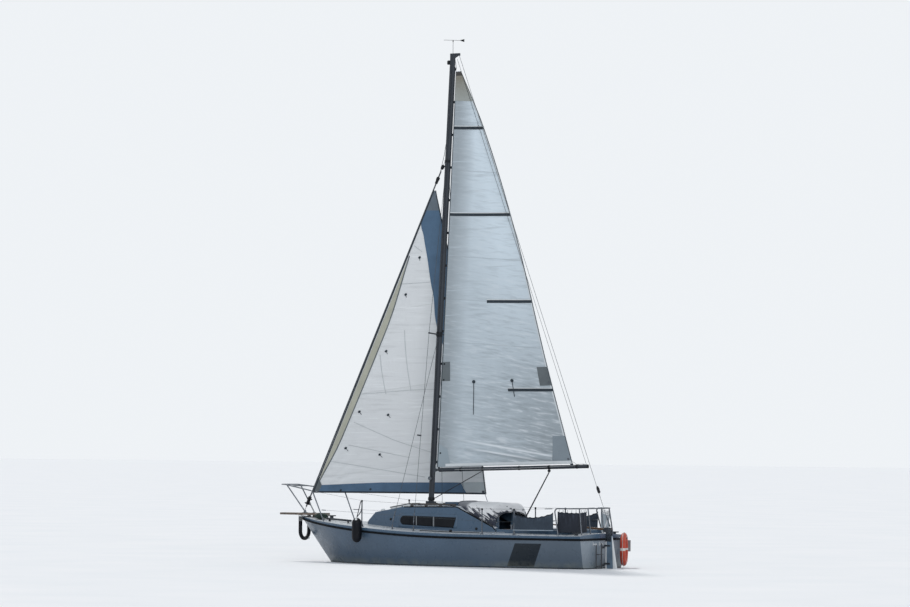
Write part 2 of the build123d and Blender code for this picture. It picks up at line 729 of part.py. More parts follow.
with BuildPart() as rudder_pintles:
    for z in PINTLE_HEIGHTS:
        with BuildSketch(Plane.XY.offset(z)):
            with Locations((PIVOT_X, 0)):
                Circle(PINTLE_RADIUS)
        extrude(amount=-PINTLE_LENGTH)
        with BuildSketch(Plane.XY.offset(z)):
            with Locations((PIVOT_X, 0)):
                Circle(GUDGEON_RADIUS)
            with Locations((PIVOT_X - STRAP_REACH / 2, 0)):
                Rectangle(STRAP_REACH, RUDDER_THICK + 2 * STRAP_THICK)
            with Locations((PIVOT_X - BLADE_GAP - STRAP_REACH / 2 + SEAT, 0)):
                Rectangle(STRAP_REACH, RUDDER_THICK + 2 * SEAT, mode=Mode.SUBTRACT)
        extrude(amount=STRAP_HEIGHT)
save(rudder_pintles.part, "rudder_pintles")

with BuildPart() as rudder_gudgeons:
    for z in PINTLE_HEIGHTS:
        with BuildSketch(Plane.XY.offset(z - SEAT)):
            with Locations((PIVOT_X, 0)):
                Circle(GUDGEON_RADIUS)
            with Locations(((PIVOT_X + TRANSOM_X - SEAT) / 2, 0)):
                Rectangle(RUDDER_GAP - SEAT, GUDGEON_RADIUS * 1.4)
            with Locations((PIVOT_X, 0)):
                Circle(PINTLE_RADIUS + PIN_FIT, mode=Mode.SUBTRACT)
        extrude(amount=-GUDGEON_HEIGHT)
        add(block((TRANSOM_X - SEAT - STRAP_THICK, -GUDGEON_PLATE / 2, z - SEAT - GUDGEON_PLATE / 2),
                  (TRANSOM_X - SEAT, GUDGEON_PLATE / 2, z - SEAT + STRAP_HEIGHT / 2)))
save(rudder_gudgeons.part, "rudder_gudgeons")

# Tiller on the rudder's head
with BuildPart() as tiller:
    with BuildSketch(Plane(origin=(PIVOT_X - HEAD_CHORD + 20, 0, TILLER_Z), x_dir=(0, 1, 0),
                           z_dir=(1, 0, 0))):
        RectangleRounded(36, 46, 10)
    with BuildSketch(Plane(origin=(PIVOT_X + 60, 0, TILLER_Z), x_dir=(0, 1, 0), z_dir=(1, 0, 0))):
        RectangleRounded(36, 46, 10)
    with BuildSketch(Plane(origin=(PIVOT_X + TILLER_LENGTH, 0, TILLER_Z + TILLER_RISE),
                           x_dir=(0, 1, 0), z_dir=(1, 0, 0))):
        RectangleRounded(26, 26, 10)
    loft(ruled=True)
    fillet(tiller.faces().sort_by(Axis.X)[-1].edges(), 8)
save(tiller.part, "tiller")

with BuildPart() as rudder_head:
    for side in (1, -1):
        with BuildSketch(Plane.XZ.offset(side * (RUDDER_THICK / 2 + SEAT))):
            with BuildLine():
                FilletPolyline(
                    (PIVOT_X - BLADE_GAP - 5, RUDDER_TOP_Z - 110),
                    (PIVOT_X - HEAD_CHORD + 10, RUDDER_TOP_Z - 110),
                    (PIVOT_X - HEAD_CHORD + 10, TILLER_Z + 30),
                    (PIVOT_X + 20, TILLER_Z + 30),
                    (PIVOT_X + 20, TILLER_Z - 45),
                    (PIVOT_X - BLADE_GAP - 5, TILLER_Z - 70),
                    radius=10, close=True,
                )
            make_face()
        extrude(amount=side * STRAP_THICK)
    add(block((PIVOT_X - HEAD_CHORD + 30, -RUDDER_THICK / 2 - 2 * SEAT, RUDDER_TOP_Z + SEAT),
              (PIVOT_X - BLADE_GAP - 25, RUDDER_THICK / 2 + 2 * SEAT, TILLER_Z - 23 - SEAT)))
save(rudder_head.part, "rudder_head")

# Boarding ladder on the transom
with BuildPart() as ladder_brackets:
    for y in (LADDER_Y - LADDER_HALF, LADDER_Y + LADDER_HALF):
        with BuildSketch(Plane.XZ.offset(-y)):
            with Locations((LADDER_X, LADDER_TOP_Z)):
                Circle(16)
            with Locations(((LADDER_X + TRANSOM_X - SEAT) / 2, LADDER_TOP_Z)):
                Rectangle(TRANSOM_X - SEAT - LADDER_X, 22)
            with Locations((TRANSOM_X - SEAT - 2, LADDER_TOP_Z)):
                Rectangle(4, 80)
            with Locations((LADDER_X, LADDER_TOP_Z)):
                Circle(6 + PIN_FIT, mode=Mode.SUBTRACT)
        extrude(amount=8, both=True)
save(ladder_brackets.part, "ladder_brackets")

ladder_rail = LADDER_HALF - 8 - SEAT - RAIL_TUBE
with BuildPart() as boarding_ladder:
    for side in (1, -1):
        y = LADDER_Y + side * ladder_rail
        add(rod((LADDER_X, y, LADDER_TOP_Z + RAIL_TUBE), (LADDER_X, y, LADDER_FOOT_Z), RAIL_TUBE))
        with BuildSketch(Plane.XZ.offset(-y)):
            with Locations((LADDER_X, LADDER_TOP_Z)):
                Circle(6)
        extrude(amount=-side * (RAIL_TUBE + 16 + 2 * SEAT))
    for z in LADDER_STEPS:
        add(
            block(
                (LADDER_X - 45, LADDER_Y - ladder_rail, z - 14),
                (LADDER_X + 12, LADDER_Y + ladder_rail, z),
            )
        )
save(boarding_ladder.part, "boarding_ladder")

# Mast, raked aft, with the track on its after side
mast_lean = radians(MAST_RAKE)
mast_dir = Vector(-sin(mast_lean), 0, cos(mast_lean))
mast_foot_z = ROOF_Z + CABIN_CAMBER + STEP_HEIGHT


def mast_plane(z):
    return Plane(origin=(mast_x(z), 0, z), x_dir=(cos(mast_lean), 0, sin(mast_lean)), z_dir=mast_dir)


def mast_form(grow=0.0):
    length = (MAST_TOP_Z - mast_foot_z) / cos(mast_lean)
    taper = (MAST_TOP_Z - TAPER_Z) / cos(mast_lean)
    with BuildPart() as form:
        with BuildSketch(mast_plane(mast_foot_z)):
            Ellipse(MAST_LONG / 2 + grow, MAST_WIDE / 2 + grow)
        extrude(amount=length - taper)
        with BuildSketch(mast_plane(TAPER_Z)):
            Ellipse(MAST_LONG / 2 + grow, MAST_WIDE / 2 + grow)
        with BuildSketch(mast_plane(MAST_TOP_Z)):
            Ellipse(MAST_LONG / 2 + grow, MAST_WIDE * 0.4 + grow)
        loft(ruled=True)
    return form.part


mast_clear = mast_form(SEAT)
save(mast_form(), "mast")

with BuildPart() as mast_step:
    with BuildSketch(Plane.XY.offset(ROOF_Z - 20)):
        with Locations((mast_x(ROOF_Z), 0)):
            RectangleRounded(STEP_LONG, STEP_WIDE, 40)
    extrude(amount=mast_foot_z - ROOF_Z + 20 - SEAT)
    add(cabin_clear, mode=Mode.SUBTRACT)
    with BuildSketch(mast_plane(mast_foot_z - SEAT)):
        Ellipse(MAST_LONG, MAST_LONG)
    extrude(amount=STEP_HEIGHT, mode=Mode.SUBTRACT)
save(mast_step.part, "mast_step")

# Spreaders and shrouds: chainplates on deck, wires to the mast
cap_foot, lower_foot = SHROUD_FEET
spreader_tip = (mast_x(SPREADER_Z) - SPREADER_SWEEP, SPREADER_LENGTH, SPREADER_Z + SPREADER_RISE)


def above_plate(foot, head):
    # The lower end of a wire, raised so that its slanted end clears the plate by SEAT.
    tilt = atan2(hypot(head[0] - foot[0], head[1] - foot[1]), head[2] - foot[2])
    return (foot[0], foot[1], foot[2] + SEAT + STAY_RADIUS * sin(tilt))


def towards(start, end, distance):
    # The point that lies this far from start on the way to end.
    return tuple(Vector(*start) + (Vector(*end) - Vector(*start)).normalized() * distance)


with BuildPart() as shrouds:
    for side in (1, -1):
        tip = (spreader_tip[0], side * spreader_tip[1], spreader_tip[2])
        cap = (cap_foot[0], side * cap_foot[1], cap_foot[2])
        lower = (lower_foot[0], side * lower_foot[1], lower_foot[2])
        head_y = side * (MAST_WIDE / 2 + STAY_RADIUS + SEAT)
        cap_head = (mast_x(HOUNDS_Z), head_y, HOUNDS_Z)
        low_head = (mast_x(SPREADER_Z), head_y, SPREADER_Z - LOWER_DROP)
        cap_end = above_plate(cap, tip)
        add(rod(cap_end, towards(tip, cap_end, TIP_BALL + SEAT), STAY_RADIUS))
        add(rod(towards(tip, cap_head, TIP_BALL + SEAT), cap_head, STAY_RADIUS))
        add(rod(above_plate(lower, low_head), low_head, STAY_RADIUS))
save(shrouds.part, "shrouds")
with BuildPart() as spreaders:
    for side in (1, -1):
        tip = (spreader_tip[0], side * spreader_tip[1], spreader_tip[2])
        add(rod((mast_x(SPREADER_Z), side * (MAST_WIDE / 2 + 6 * SEAT), SPREADER_Z), tip, SPREADER_RADIUS))
        with Locations(tip):
            Sphere(TIP_BALL)
save(spreaders.part, "spreaders")

with BuildPart() as chainplates:
    for x, y, z in SHROUD_FEET:
        for side in (1, -1):
            add(block((x - 16, side * y - 3, z - 120), (x + 16, side * y + 3, z)))
    add(hull_clear, mode=Mode.SUBTRACT)
save(chainplates.part, "chainplates")

# Backstay from the masthead crane to the transom's starboard side
crane_tip = (mast_x(MAST_TOP_Z) - CRANE_REACH, 0, MAST_TOP_Z - 30)
with BuildPart() as masthead_crane:
    with BuildSketch(Plane.XZ):
        with BuildLine():
            FilletPolyline(
                (mast_x(MAST_TOP_Z) + 60, MAST_TOP_Z + SEAT + 12),
                (crane_tip[0] - 15, MAST_TOP_Z + SEAT + 12),
                (crane_tip[0] - 15, MAST_TOP_Z - 40),
                (crane_tip[0] + 20, MAST_TOP_Z - 40),
                (mast_x(MAST_TOP_Z) - 40, MAST_TOP_Z - 90),
                (mast_x(MAST_TOP_Z) + 60, MAST_TOP_Z - 90),
                radius=8, close=True,
            )
        make_face()
    extrude(amount=12, both=True)
    add(mast_clear, mode=Mode.SUBTRACT)
    with BuildSketch(Plane.XY.offset(MAST_TOP_Z + 12)):
        with Locations((mast_x(MAST_TOP_Z), 0)):
            Circle(VANE_PIN)
    extrude(amount=VANE_HEIGHT)
save(masthead_crane.part, "masthead_crane")
with BuildPart() as backstay:
    add(rod(above_plate(BACKSTAY_FOOT, crane_tip), (crane_tip[0], 0, MAST_TOP_Z - 40 - 2 * SEAT - 1),
            STAY_RADIUS))
save(backstay.part, "backstay")
with BuildPart() as backstay_plate:
    x, y, z = BACKSTAY_FOOT
    add(block((x - 3, y - 16, z - 120), (x + 3, y + 16, z)))
    add(hull_clear, mode=Mode.SUBTRACT)
save(backstay_plate.part, "backstay_plate")

# Wind vane on the masthead pin
vane_z = MAST_TOP_Z + 12 + VANE_HEIGHT
vane_x = mast_x(MAST_TOP_Z)
vane_dir = (cos(radians(VANE_HEADING)), sin(radians(VANE_HEADING)))
with BuildPart() as wind_vane:
    with BuildSketch(Plane.XY.offset(vane_z - 30)):
        with Locations((vane_x, 0)):
            Circle(9)
            Circle(VANE_PIN + PIN_FIT, mode=Mode.SUBTRACT)
    extrude(amount=30)
    with BuildSketch(Plane.XY.offset(vane_z + SEAT)):
        with Locations((vane_x, 0)):
            Circle(9)
    extrude(amount=8)
    with BuildSketch(Plane.XY.offset(vane_z)):
        with Locations((vane_x, 0)):
            Circle(9)
            Circle(VANE_PIN + 1, mode=Mode.SUBTRACT)
    extrude(amount=SEAT)
    add(rod((vane_x - vane_dir[0] * VANE_TAIL, -vane_dir[1] * VANE_TAIL, vane_z + 6),
            (vane_x + vane_dir[0] * VANE_NOSE, vane_dir[1] * VANE_NOSE, vane_z + 6), 3.5))
    with BuildSketch(Plane(origin=(vane_x - vane_dir[0] * VANE_TAIL, -vane_dir[1] * VANE_TAIL, vane_z + 6),
                           x_dir=(vane_dir[0], vane_dir[1], 0), z_dir=(-vane_dir[1], vane_dir[0], 0))):
        Polygon((-20, -30), (60, -8), (60, 8), (-20, 30), align=None)
    extrude(amount=2, both=True)
save(wind_vane.part, "wind_vane")

# Boom on its gooseneck, with the luff slides and the mainsail turning about one axis
mast_aft = Vector(-cos(mast_lean), 0, -sin(mast_lean))
axis_back = MAST_LONG / 2 + TRACK_THICK + SLIDE_RADIUS + SEAT
goose = Vector(mast_x(GOOSENECK_Z), 0, GOOSENECK_Z) + mast_aft * axis_back
boom_rise = radians(BOOM_RISE)
boom_dir = Vector(-cos(boom_rise), 0, sin(boom_rise)).rotate(Axis((0, 0, 0), mast_dir), BOOM_SWING)
boom_up = (mast_dir - boom_dir * mast_dir.dot(boom_dir)).normalized()


def boom_plane(height=0.0):
    return Plane(origin=goose + mast_dir * height, x_dir=boom_dir, z_dir=boom_up)


def axis_plane(height=0.0):
    return Plane(origin=goose + mast_dir * height, x_dir=mast_aft, z_dir=mast_dir)


with BuildPart() as gooseneck:
    for height in (GOOSE_GAP / 2, -GOOSE_GAP / 2 - GOOSE_PLATE):
        with BuildSketch(axis_plane(height)):
            Circle(GOOSE_RADIUS)
            with Locations((-axis_back / 2, 0)):
                Rectangle(axis_back, 2 * GOOSE_RADIUS)
            Circle(GOOSE_PIN + PIN_FIT, mode=Mode.SUBTRACT)
        extrude(amount=GOOSE_PLATE)
    with BuildSketch(axis_plane(-GOOSE_GAP)):
        with Locations((-GOOSE_RADIUS - SWING, 0)):
            Rectangle(2 * SWING - 3, 2 * GOOSE_RADIUS)
    extrude(amount=2 * GOOSE_GAP)
    add(mast_clear, mode=Mode.SUBTRACT)
save(gooseneck.part, "gooseneck")

with BuildPart() as boom:
    with BuildSketch(axis_plane(-GOOSE_GAP / 2 + 1)):
        Circle(GOOSE_RADIUS - 2)
    extrude(amount=GOOSE_GAP - 2)
    with BuildSketch(axis_plane(-GOOSE_GAP / 2 - GOOSE_PLATE)):
        Circle(GOOSE_PIN)
    extrude(amount=GOOSE_GAP + 2 * GOOSE_PLATE)
    with BuildSketch(Plane(origin=goose, x_dir=boom_up, z_dir=boom_dir)):
        RectangleRounded(GOOSE_GAP - 6, 16, 4)
    extrude(amount=BOOM_START + 1)
    with BuildSketch(Plane(origin=goose + boom_dir * BOOM_START, x_dir=boom_up, z_dir=boom_dir)):
        Ellipse(BOOM_RADIUS, BOOM_RADIUS * 0.8)
    extrude(amount=BOOM_LENGTH - BOOM_START)
    for start, length in ((SLIDE_RADIUS + 26, 40), (MAIN_SECTIONS[0][1] - 30, 60)):
        with BuildSketch(boom_plane()):
            with Locations((start + length / 2, 0)):
                Rectangle(length, 12)
        extrude(amount=FOOT_HEIGHT * mast_dir.dot(boom_up) - SEAT)
save(boom.part, "boom")

track_length = (MAST_TOP_Z - GOOSENECK_Z) / cos(mast_lean) - TRACK_START - TRACK_HEAD_GAP
with BuildPart() as mast_track:
    with BuildSketch(mast_plane(GOOSENECK_Z + TRACK_START)):
        with Locations((-MAST_LONG / 2 - TRACK_THICK / 2 + 3, 0)):
            Rectangle(TRACK_THICK + 6, 22)
    extrude(amount=track_length)
    add(mast_clear, mode=Mode.SUBTRACT)
save(mast_track.part, "mast_track")

slide_step = (track_length - 2 * SLIDE_HEIGHT) / (SLIDES - 1)
with BuildPart() as luff_slides:
    for index in range(SLIDES):
        with BuildSketch(axis_plane(TRACK_START + SLIDE_HEIGHT / 2 + index * slide_step)):
            Circle(SLIDE_RADIUS)
        extrude(amount=SLIDE_HEIGHT)
save(luff_slides.part, "luff_slides")


def sail_strip(luff, leech, depth, plane):
    # A thin curved section of a sail; depth is to the left of the way from luff to leech.
    chord = hypot(leech[0] - luff[0], leech[1] - luff[1])
    along = ((leech[0] - luff[0]) / chord, (leech[1] - luff[1]) / chord)
    left = (-along[1], along[0])
    half = SAIL_THICK / 2
    middle = [(a + b) / 2 for a, b in zip(luff, leech)]

    def offset_point(point, distance):
        return (point[0] + left[0] * distance, point[1] + left[1] * distance)

    with BuildSketch(plane) as strip:
        with BuildLine():
            ThreePointArc(offset_point(luff, half), offset_point(middle, depth + half),
                          offset_point(leech, half))
            Line(offset_point(leech, half), offset_point(leech, -half))
            ThreePointArc(offset_point(leech, -half), offset_point(middle, depth - half),
                          offset_point(luff, -half))
            Line(offset_point(luff, -half), offset_point(luff, half))
        make_face()
    return strip.sketch


luff_start = SLIDE_RADIUS + SEAT + 1.5
with BuildPart() as mainsail:
    for height, chord, camber in MAIN_SECTIONS:
        add(sail_strip((luff_start, 0), (luff_start + chord, 0), camber * chord, boom_plane(height)))
    loft(ruled=True)
save(mainsail.part, "mainsail")

# Forestay with its furler, and the headsail
stem_foot = Vector(STEM_FITTING_X, 0, STEM_FITTING_Z)
hounds = Vector(mast_x(HOUNDS_Z) + MAST_LONG / 2, 0, HOUNDS_Z)
stay_dir = (hounds - stem_foot).normalized()


def stay_plane(distance):
    return Plane(origin=stem_foot + stay_dir * distance, x_dir=(0, 1, 0), z_dir=stay_dir)


with BuildPart() as forestay:
    add(rod(tuple(stem_foot + stay_dir * (SEAT + 2)), tuple(hounds + stay_dir * 30), STAY_RADIUS))
    with BuildSketch(stay_plane(FOIL_START)):
        Circle(FOIL_RADIUS)
    extrude(amount=FOIL_LENGTH)
    add(mast_clear, mode=Mode.SUBTRACT)
save(forestay.part, "forestay")

with BuildPart() as furler_drum:
    with BuildSketch(stay_plane(DRUM_START)):
        Circle(DRUM_RADIUS)
    extrude(amount=DRUM_FLANGE)
    with BuildSketch(stay_plane(DRUM_START + DRUM_HEIGHT - DRUM_FLANGE)):
        Circle(DRUM_RADIUS)
    extrude(amount=DRUM_FLANGE)
    with BuildSketch(stay_plane(DRUM_START)):
        Circle(DRUM_RADIUS * 0.55)
    extrude(amount=DRUM_HEIGHT + 40)
    with BuildSketch(stay_plane(DRUM_START - 1)):
        Circle(FOIL_RADIUS + SEAT)
    extrude(amount=DRUM_HEIGHT + 50, mode=Mode.SUBTRACT)
save(furler_drum.part, "furler_drum")

with BuildPart() as furler_swivel:
    with BuildSketch(stay_plane(SWIVEL_START)):
        Circle(SWIVEL_RADIUS)
        Circle(FOIL_RADIUS + SEAT, mode=Mode.SUBTRACT)
    extrude(amount=SWIVEL_HEIGHT)
save(furler_swivel.part, "furler_swivel")

with BuildPart() as genoa:
    for height, leech_x, leech_y, camber in GENOA_SECTIONS:
        luff_x = stem_foot.X + stay_dir.X * (height - stem_foot.Z) / stay_dir.Z - LUFF_IN
        chord = hypot(luff_x - leech_x, leech_y)
        add(sail_strip((luff_x, 0), (leech_x, leech_y), camber * chord, Plane.XY.offset(height)))
    loft(ruled=True)
    with BuildSketch(stay_plane(0)):
        Circle(FOIL_RADIUS + SEAT)
    extrude(amount=HOUNDS_Z, mode=Mode.SUBTRACT)
save(genoa.part, "genoa")

# Bow platform, stem fitting, pulpit and bow fender
with BuildPart() as bow_platform:
    with BuildSketch(Plane.XY.offset(PLATFORM_Z - PLATFORM_THICK)):
        with BuildLine():
            FilletPolyline(
                (PLATFORM_AFT_X, -PLATFORM_HALF), (PLATFORM_WAIST_X, -PLATFORM_HALF),
                (PLATFORM_TIP_X, -PLATFORM_TIP_HALF), (PLATFORM_TIP_X, PLATFORM_TIP_HALF),
                (PLATFORM_WAIST_X, PLATFORM_HALF), (PLATFORM_AFT_X, PLATFORM_HALF),
                radius=[200, 90, 90, 200],
            )
            Line((PLATFORM_AFT_X, PLATFORM_HALF), (PLATFORM_AFT_X, -PLATFORM_HALF))
        make_face()
    extrude(amount=PLATFORM_THICK)
    add(block((PLATFORM_AFT_X + 40, -PLATFORM_PAD, MID_SHEER_Z + 150),
              (STEM_X - 250, PLATFORM_PAD, PLATFORM_Z - PLATFORM_THICK + 1)))
    add(hull_clear, mode=Mode.SUBTRACT)
save(bow_platform.part, "bow_platform")

with BuildPart() as stem_fitting:
    add(block((STEM_FITTING_X - 60, -22, PLATFORM_Z + SEAT), (STEM_FITTING_X + 60, 22, PLATFORM_Z + 8)))
    with BuildSketch(Plane.XZ):
        Polygon((STEM_FITTING_X - 40, PLATFORM_Z + 1), (STEM_FITTING_X + 40, PLATFORM_Z + 1),
                (STEM_FITTING_X + 14, STEM_FITTING_Z - 2), (STEM_FITTING_X - 14, STEM_FITTING_Z - 2),
                align=None)
    extrude(amount=4, both=True)
save(stem_fitting.part, "stem_fitting")

def pulpit_rail(x, side):
    # A point on the straight part of the pulpit's top rail.
    share = (x - PULPIT_AFT_X) / (PULPIT_BEND_X - PULPIT_AFT_X)
    return (x, side * (PULPIT_AFT_HALF + (PULPIT_BEND_HALF - PULPIT_AFT_HALF) * share),
            PULPIT_AFT_Z + (PULPIT_Z - PULPIT_AFT_Z) * share)


with BuildPart() as pulpit:
    add(tube([(PULPIT_LEG_X, PULPIT_LEG_HALF, 700), pulpit_rail(PULPIT_AFT_X, 1),
              pulpit_rail(PULPIT_BEND_X, 1), (PULPIT_TIP_X, PULPIT_TIP_HALF, PULPIT_Z),
              (PULPIT_TIP_X, -PULPIT_TIP_HALF, PULPIT_Z), pulpit_rail(PULPIT_BEND_X, -1),
              pulpit_rail(PULPIT_AFT_X, -1), (PULPIT_LEG_X, -PULPIT_LEG_HALF, 700)],
             [70, 120, 60, 60, 120, 70], RAIL_TUBE))
    for side in (1, -1):
        add(rod((PULPIT_FRONT_X, side * PULPIT_FRONT_HALF, PLATFORM_Z + SEAT + RAIL_TUBE * 0.8),
                pulpit_rail(PULPIT_FRONT_TOP_X, side), RAIL_TUBE))
        with BuildSketch(Plane.XY.offset(PLATFORM_Z + SEAT)):
            with Locations((PULPIT_FRONT_X, side * PULPIT_FRONT_HALF)):
                Circle(FOOT_RADIUS)
        extrude(amount=FOOT_THICK + 8)
    add(rod(pulpit_rail(PULPIT_BAR_X, 1), pulpit_rail(PULPIT_BAR_X, -1), RAIL_TUBE))
    add(hull_clear, mode=Mode.SUBTRACT)
save(pulpit.part, "pulpit")

with BuildPart() as bow_fender:
    top = PLATFORM_Z - PLATFORM_THICK - SEAT
    add(tube([(BOW_FENDER_X, BOW_FENDER_HALF, top), (BOW_FENDER_X, BOW_FENDER_HALF, top - BOW_FENDER_DROP),
              (BOW_FENDER_X, -BOW_FENDER_HALF, top - BOW_FENDER_DROP),
              (BOW_FENDER_X, -BOW_FENDER_HALF, top)], BOW_FENDER_HALF * 0.95, BOW_FENDER_RADIUS))
save(bow_fender.part, "bow_fender")

# Pushpit, stanchions and the cloths laced to them
with BuildPart() as pushpit:
    path = []
    for side in (1, -1):
        half = [
            (PUSHPIT_FOOT_X, side * PUSHPIT_FOOT_HALF, 600),
            (PUSHPIT_FRONT_X, side * PUSHPIT_HALF, PUSHPIT_Z),
            (PUSHPIT_AFT_X, side * PUSHPIT_HALF, PUSHPIT_Z),
        ]
        path += half if side == 1 else half[::-1]
    add(tube(path, [60, PUSHPIT_CORNER, PUSHPIT_CORNER, 60], RAIL_TUBE))
    for top_x, top_y, foot_x, foot_y in PUSHPIT_LEGS:
        for side in (1, -1):
            add(rod((foot_x, side * foot_y, 600), (top_x, side * top_y, PUSHPIT_Z), RAIL_TUBE))
    add(hull_clear, mode=Mode.SUBTRACT)
save(pushpit.part, "pushpit")

with BuildPart() as stanchions:
    for x, y, deck_z in STANCHIONS:
        for side in (1, -1):
            add(rod((x, side * y, deck_z - 80), (x, side * y, deck_z + STANCHION_HEIGHT), RAIL_TUBE))
            with BuildSketch(Plane.XY.offset(deck_z - 80)):
                with Locations((x, side * y)):
                    Circle(FOOT_RADIUS)
            extrude(amount=80 + 2 * FOOT_THICK)
    add(hull_clear, mode=Mode.SUBTRACT)
save(stanchions.part, "stanchions")


def cloth_panel(start, end, low, high_start, high_end, sag):
    # A thin upright panel between two plan points, its top edge sagging in an arc.
    run = Vector(end[0] - start[0], end[1] - start[1], 0)
    with BuildPart() as panel:
        with BuildSketch(Plane(origin=(start[0], start[1], 0), x_dir=run,
                               z_dir=Vector(0, 0, 1).cross(run.normalized()) * -1)):
            with BuildLine():
                Polyline((0, high_start), (0, low), (run.length, low), (run.length, high_end))
                ThreePointArc((run.length, high_end), (run.length / 2, (high_start + high_end) / 2 - sag),
                              (0, high_start))
            make_face()
        extrude(amount=CLOTH_THICK)
    return panel.part


with BuildPart() as weather_cloths:
    x, y, deck_z = STANCHIONS[-1]
    panel = cloth_panel((x + 20, y + RAIL_TUBE + SEAT + 4), (WEATHER_END_X, WEATHER_END_HALF),
                        WEATHER_LOW_Z, WEATHER_HIGH_Z, WEATHER_HIGH_Z + 30, WEATHER_SAG)
    add(panel)
    add(mirror(panel, about=Plane.XZ))
save(weather_cloths.part, "weather_cloths")


def rail_cloth(side, start, end, low, high):
    # A panel just inside the pushpit's rail, following its corner.
    inner = RAIL_TUBE + SEAT
    with BuildPart() as cloth:
        with BuildSketch(Plane.XY.offset(low)):
            with BuildLine() as strip:
                FilletPolyline((start[0], side * (PUSHPIT_HALF - inner)),
                               (PUSHPIT_AFT_X + inner, side * (PUSHPIT_HALF - inner)),
                               (PUSHPIT_AFT_X + inner, side * end), radius=PUSHPIT_CORNER - inner)
                offset(amount=CLOTH_THICK, side=Side.LEFT if side == 1 else Side.RIGHT)
            make_face()
        extrude(amount=high - low)
    return cloth.part


save(rail_cloth(1, (STERN_CLOTH_PORT_X, 0), STERN_CLOTH_END, STERN_CLOTH_LOW_Z, STERN_CLOTH_HIGH_Z),
     "stern_cloth_port")
save(rail_cloth(-1, (STERN_CLOTH_STARBOARD_X, 0), STERN_CLOTH_END, STERN_CLOTH_LOW_Z, STERN_CLOTH_HIGH_Z),
     "stern_cloth_starboard")

# Fender, lifebuoy and its light
with BuildPart() as fender:
    with BuildSketch(Plane(origin=(FENDER_X, FENDER_Y, FENDER_Z), x_dir=(1, 0, 0), z_dir=(0, -1, 0))):
        with BuildLine():
            Line((0, FENDER_LENGTH / 2), (0, -FENDER_LENGTH / 2))
            Line((0, -FENDER_LENGTH / 2), (20, -FENDER_LENGTH / 2))
            ThreePointArc((20, -FENDER_LENGTH / 2), (FENDER_RADIUS * 0.8, -FENDER_LENGTH / 2 + 45),
                          (FENDER_RADIUS, -FENDER_LENGTH / 2 + 110))
            Line((FENDER_RADIUS, -FENDER_LENGTH / 2 + 110), (FENDER_RADIUS, FENDER_LENGTH / 2 - 110))
            ThreePointArc((FENDER_RADIUS, FENDER_LENGTH / 2 - 110),
                          (FENDER_RADIUS * 0.8, FENDER_LENGTH / 2 - 45), (20, FENDER_LENGTH / 2))
            Line((20, FENDER_LENGTH / 2), (0, FENDER_LENGTH / 2))
        make_face()
    revolve(axis=Axis((FENDER_X, FENDER_Y, 0), (0, 0, 1)))
    add(hull_form(RAIL_OUT + SEAT), mode=Mode.SUBTRACT)
save(fender.part, "fender")

buoy_angle = radians(BUOY_TURN)
with BuildPart() as lifebuoy:
    with Locations(Plane(origin=(BUOY_X, BUOY_Y, BUOY_Z), z_dir=(-cos(buoy_angle), -sin(buoy_angle), 0))):
        Torus(BUOY_MAJOR, BUOY_MINOR)
save(lifebuoy.part, "lifebuoy")
with BuildPart() as lifebuoy_bracket:
    rod_z = BUOY_Z + BUOY_MAJOR - BUOY_MINOR - 8 - SEAT
    rail_x = TRANSOM_X - RAIL_OUT - 2 * SEAT
    add(rod((rail_x, BUOY_Y, rod_z), (BUOY_X - 70, BUOY_Y, rod_z), 8))
    add(block((rail_x - 5, BUOY_Y - 30, rod_z - 18), (rail_x, BUOY_Y + 30, rod_z + 12)))
    add(rod((BUOY_X - 70, BUOY_Y, rod_z - 7), (BUOY_X - 70, BUOY_Y, rod_z + 30), 8))
save(lifebuoy_bracket.part, "lifebuoy_bracket")
with BuildPart() as lifebuoy_light:
    with BuildSketch(Plane.XY.offset(LIGHT_Z - LIGHT_HEIGHT / 2)):
        with Locations((LIGHT_X, LIGHT_Y)):
            Circle(LIGHT_RADIUS)
    extrude(amount=LIGHT_HEIGHT)
    add(block((LIGHT_X, LIGHT_Y + 5, LIGHT_Z - 20), (TRANSOM_X - SEAT, LIGHT_Y + 45, LIGHT_Z + 20)))
save(lifebuoy_light.part, "lifebuoy_light")

# Sprayhood lowered over the companionway
def hood_form(inset):
    with BuildPart() as hood:
        for x, half, shoulder, base_z, top_z in HOOD_SECTIONS:
            with BuildSketch(Plane(origin=(x, 0, 0), x_dir=(0, 1, 0), z_dir=(1, 0, 0))):
                with BuildLine():
                    FilletPolyline(
                        (-half + inset, base_z - 300),
                        (-half + inset, base_z),
                        (-half * shoulder + inset / 2, top_z - inset),
                        (half * shoulder - inset / 2, top_z - inset),
                        (half - inset, base_z),
                        (half - inset, base_z - 300),
                        radius=[60, 70, 70, 60],
                    )
                    Line((half - inset, base_z - 300), (-half + inset, base_z - 300))
                make_face()
        loft(ruled=True)
    return hood.part


with BuildPart() as sprayhood:
    add(hood_form(0))
    add(hood_form(HOOD_THICK), mode=Mode.SUBTRACT)
    add(cabin_clear, mode=Mode.SUBTRACT)
    add(block((TRUNK_FORWARD_X - 1 - SEAT, -garage_half - GARAGE_WALL - SEAT, ROOF_Z - 50),
              (garage_front_x, garage_half + GARAGE_WALL + SEAT, garage_z + GARAGE_WALL + SEAT)),
        mode=Mode.SUBTRACT)
    add(hull_clear, mode=Mode.SUBTRACT)
save(sprayhood.part, "sprayhood")

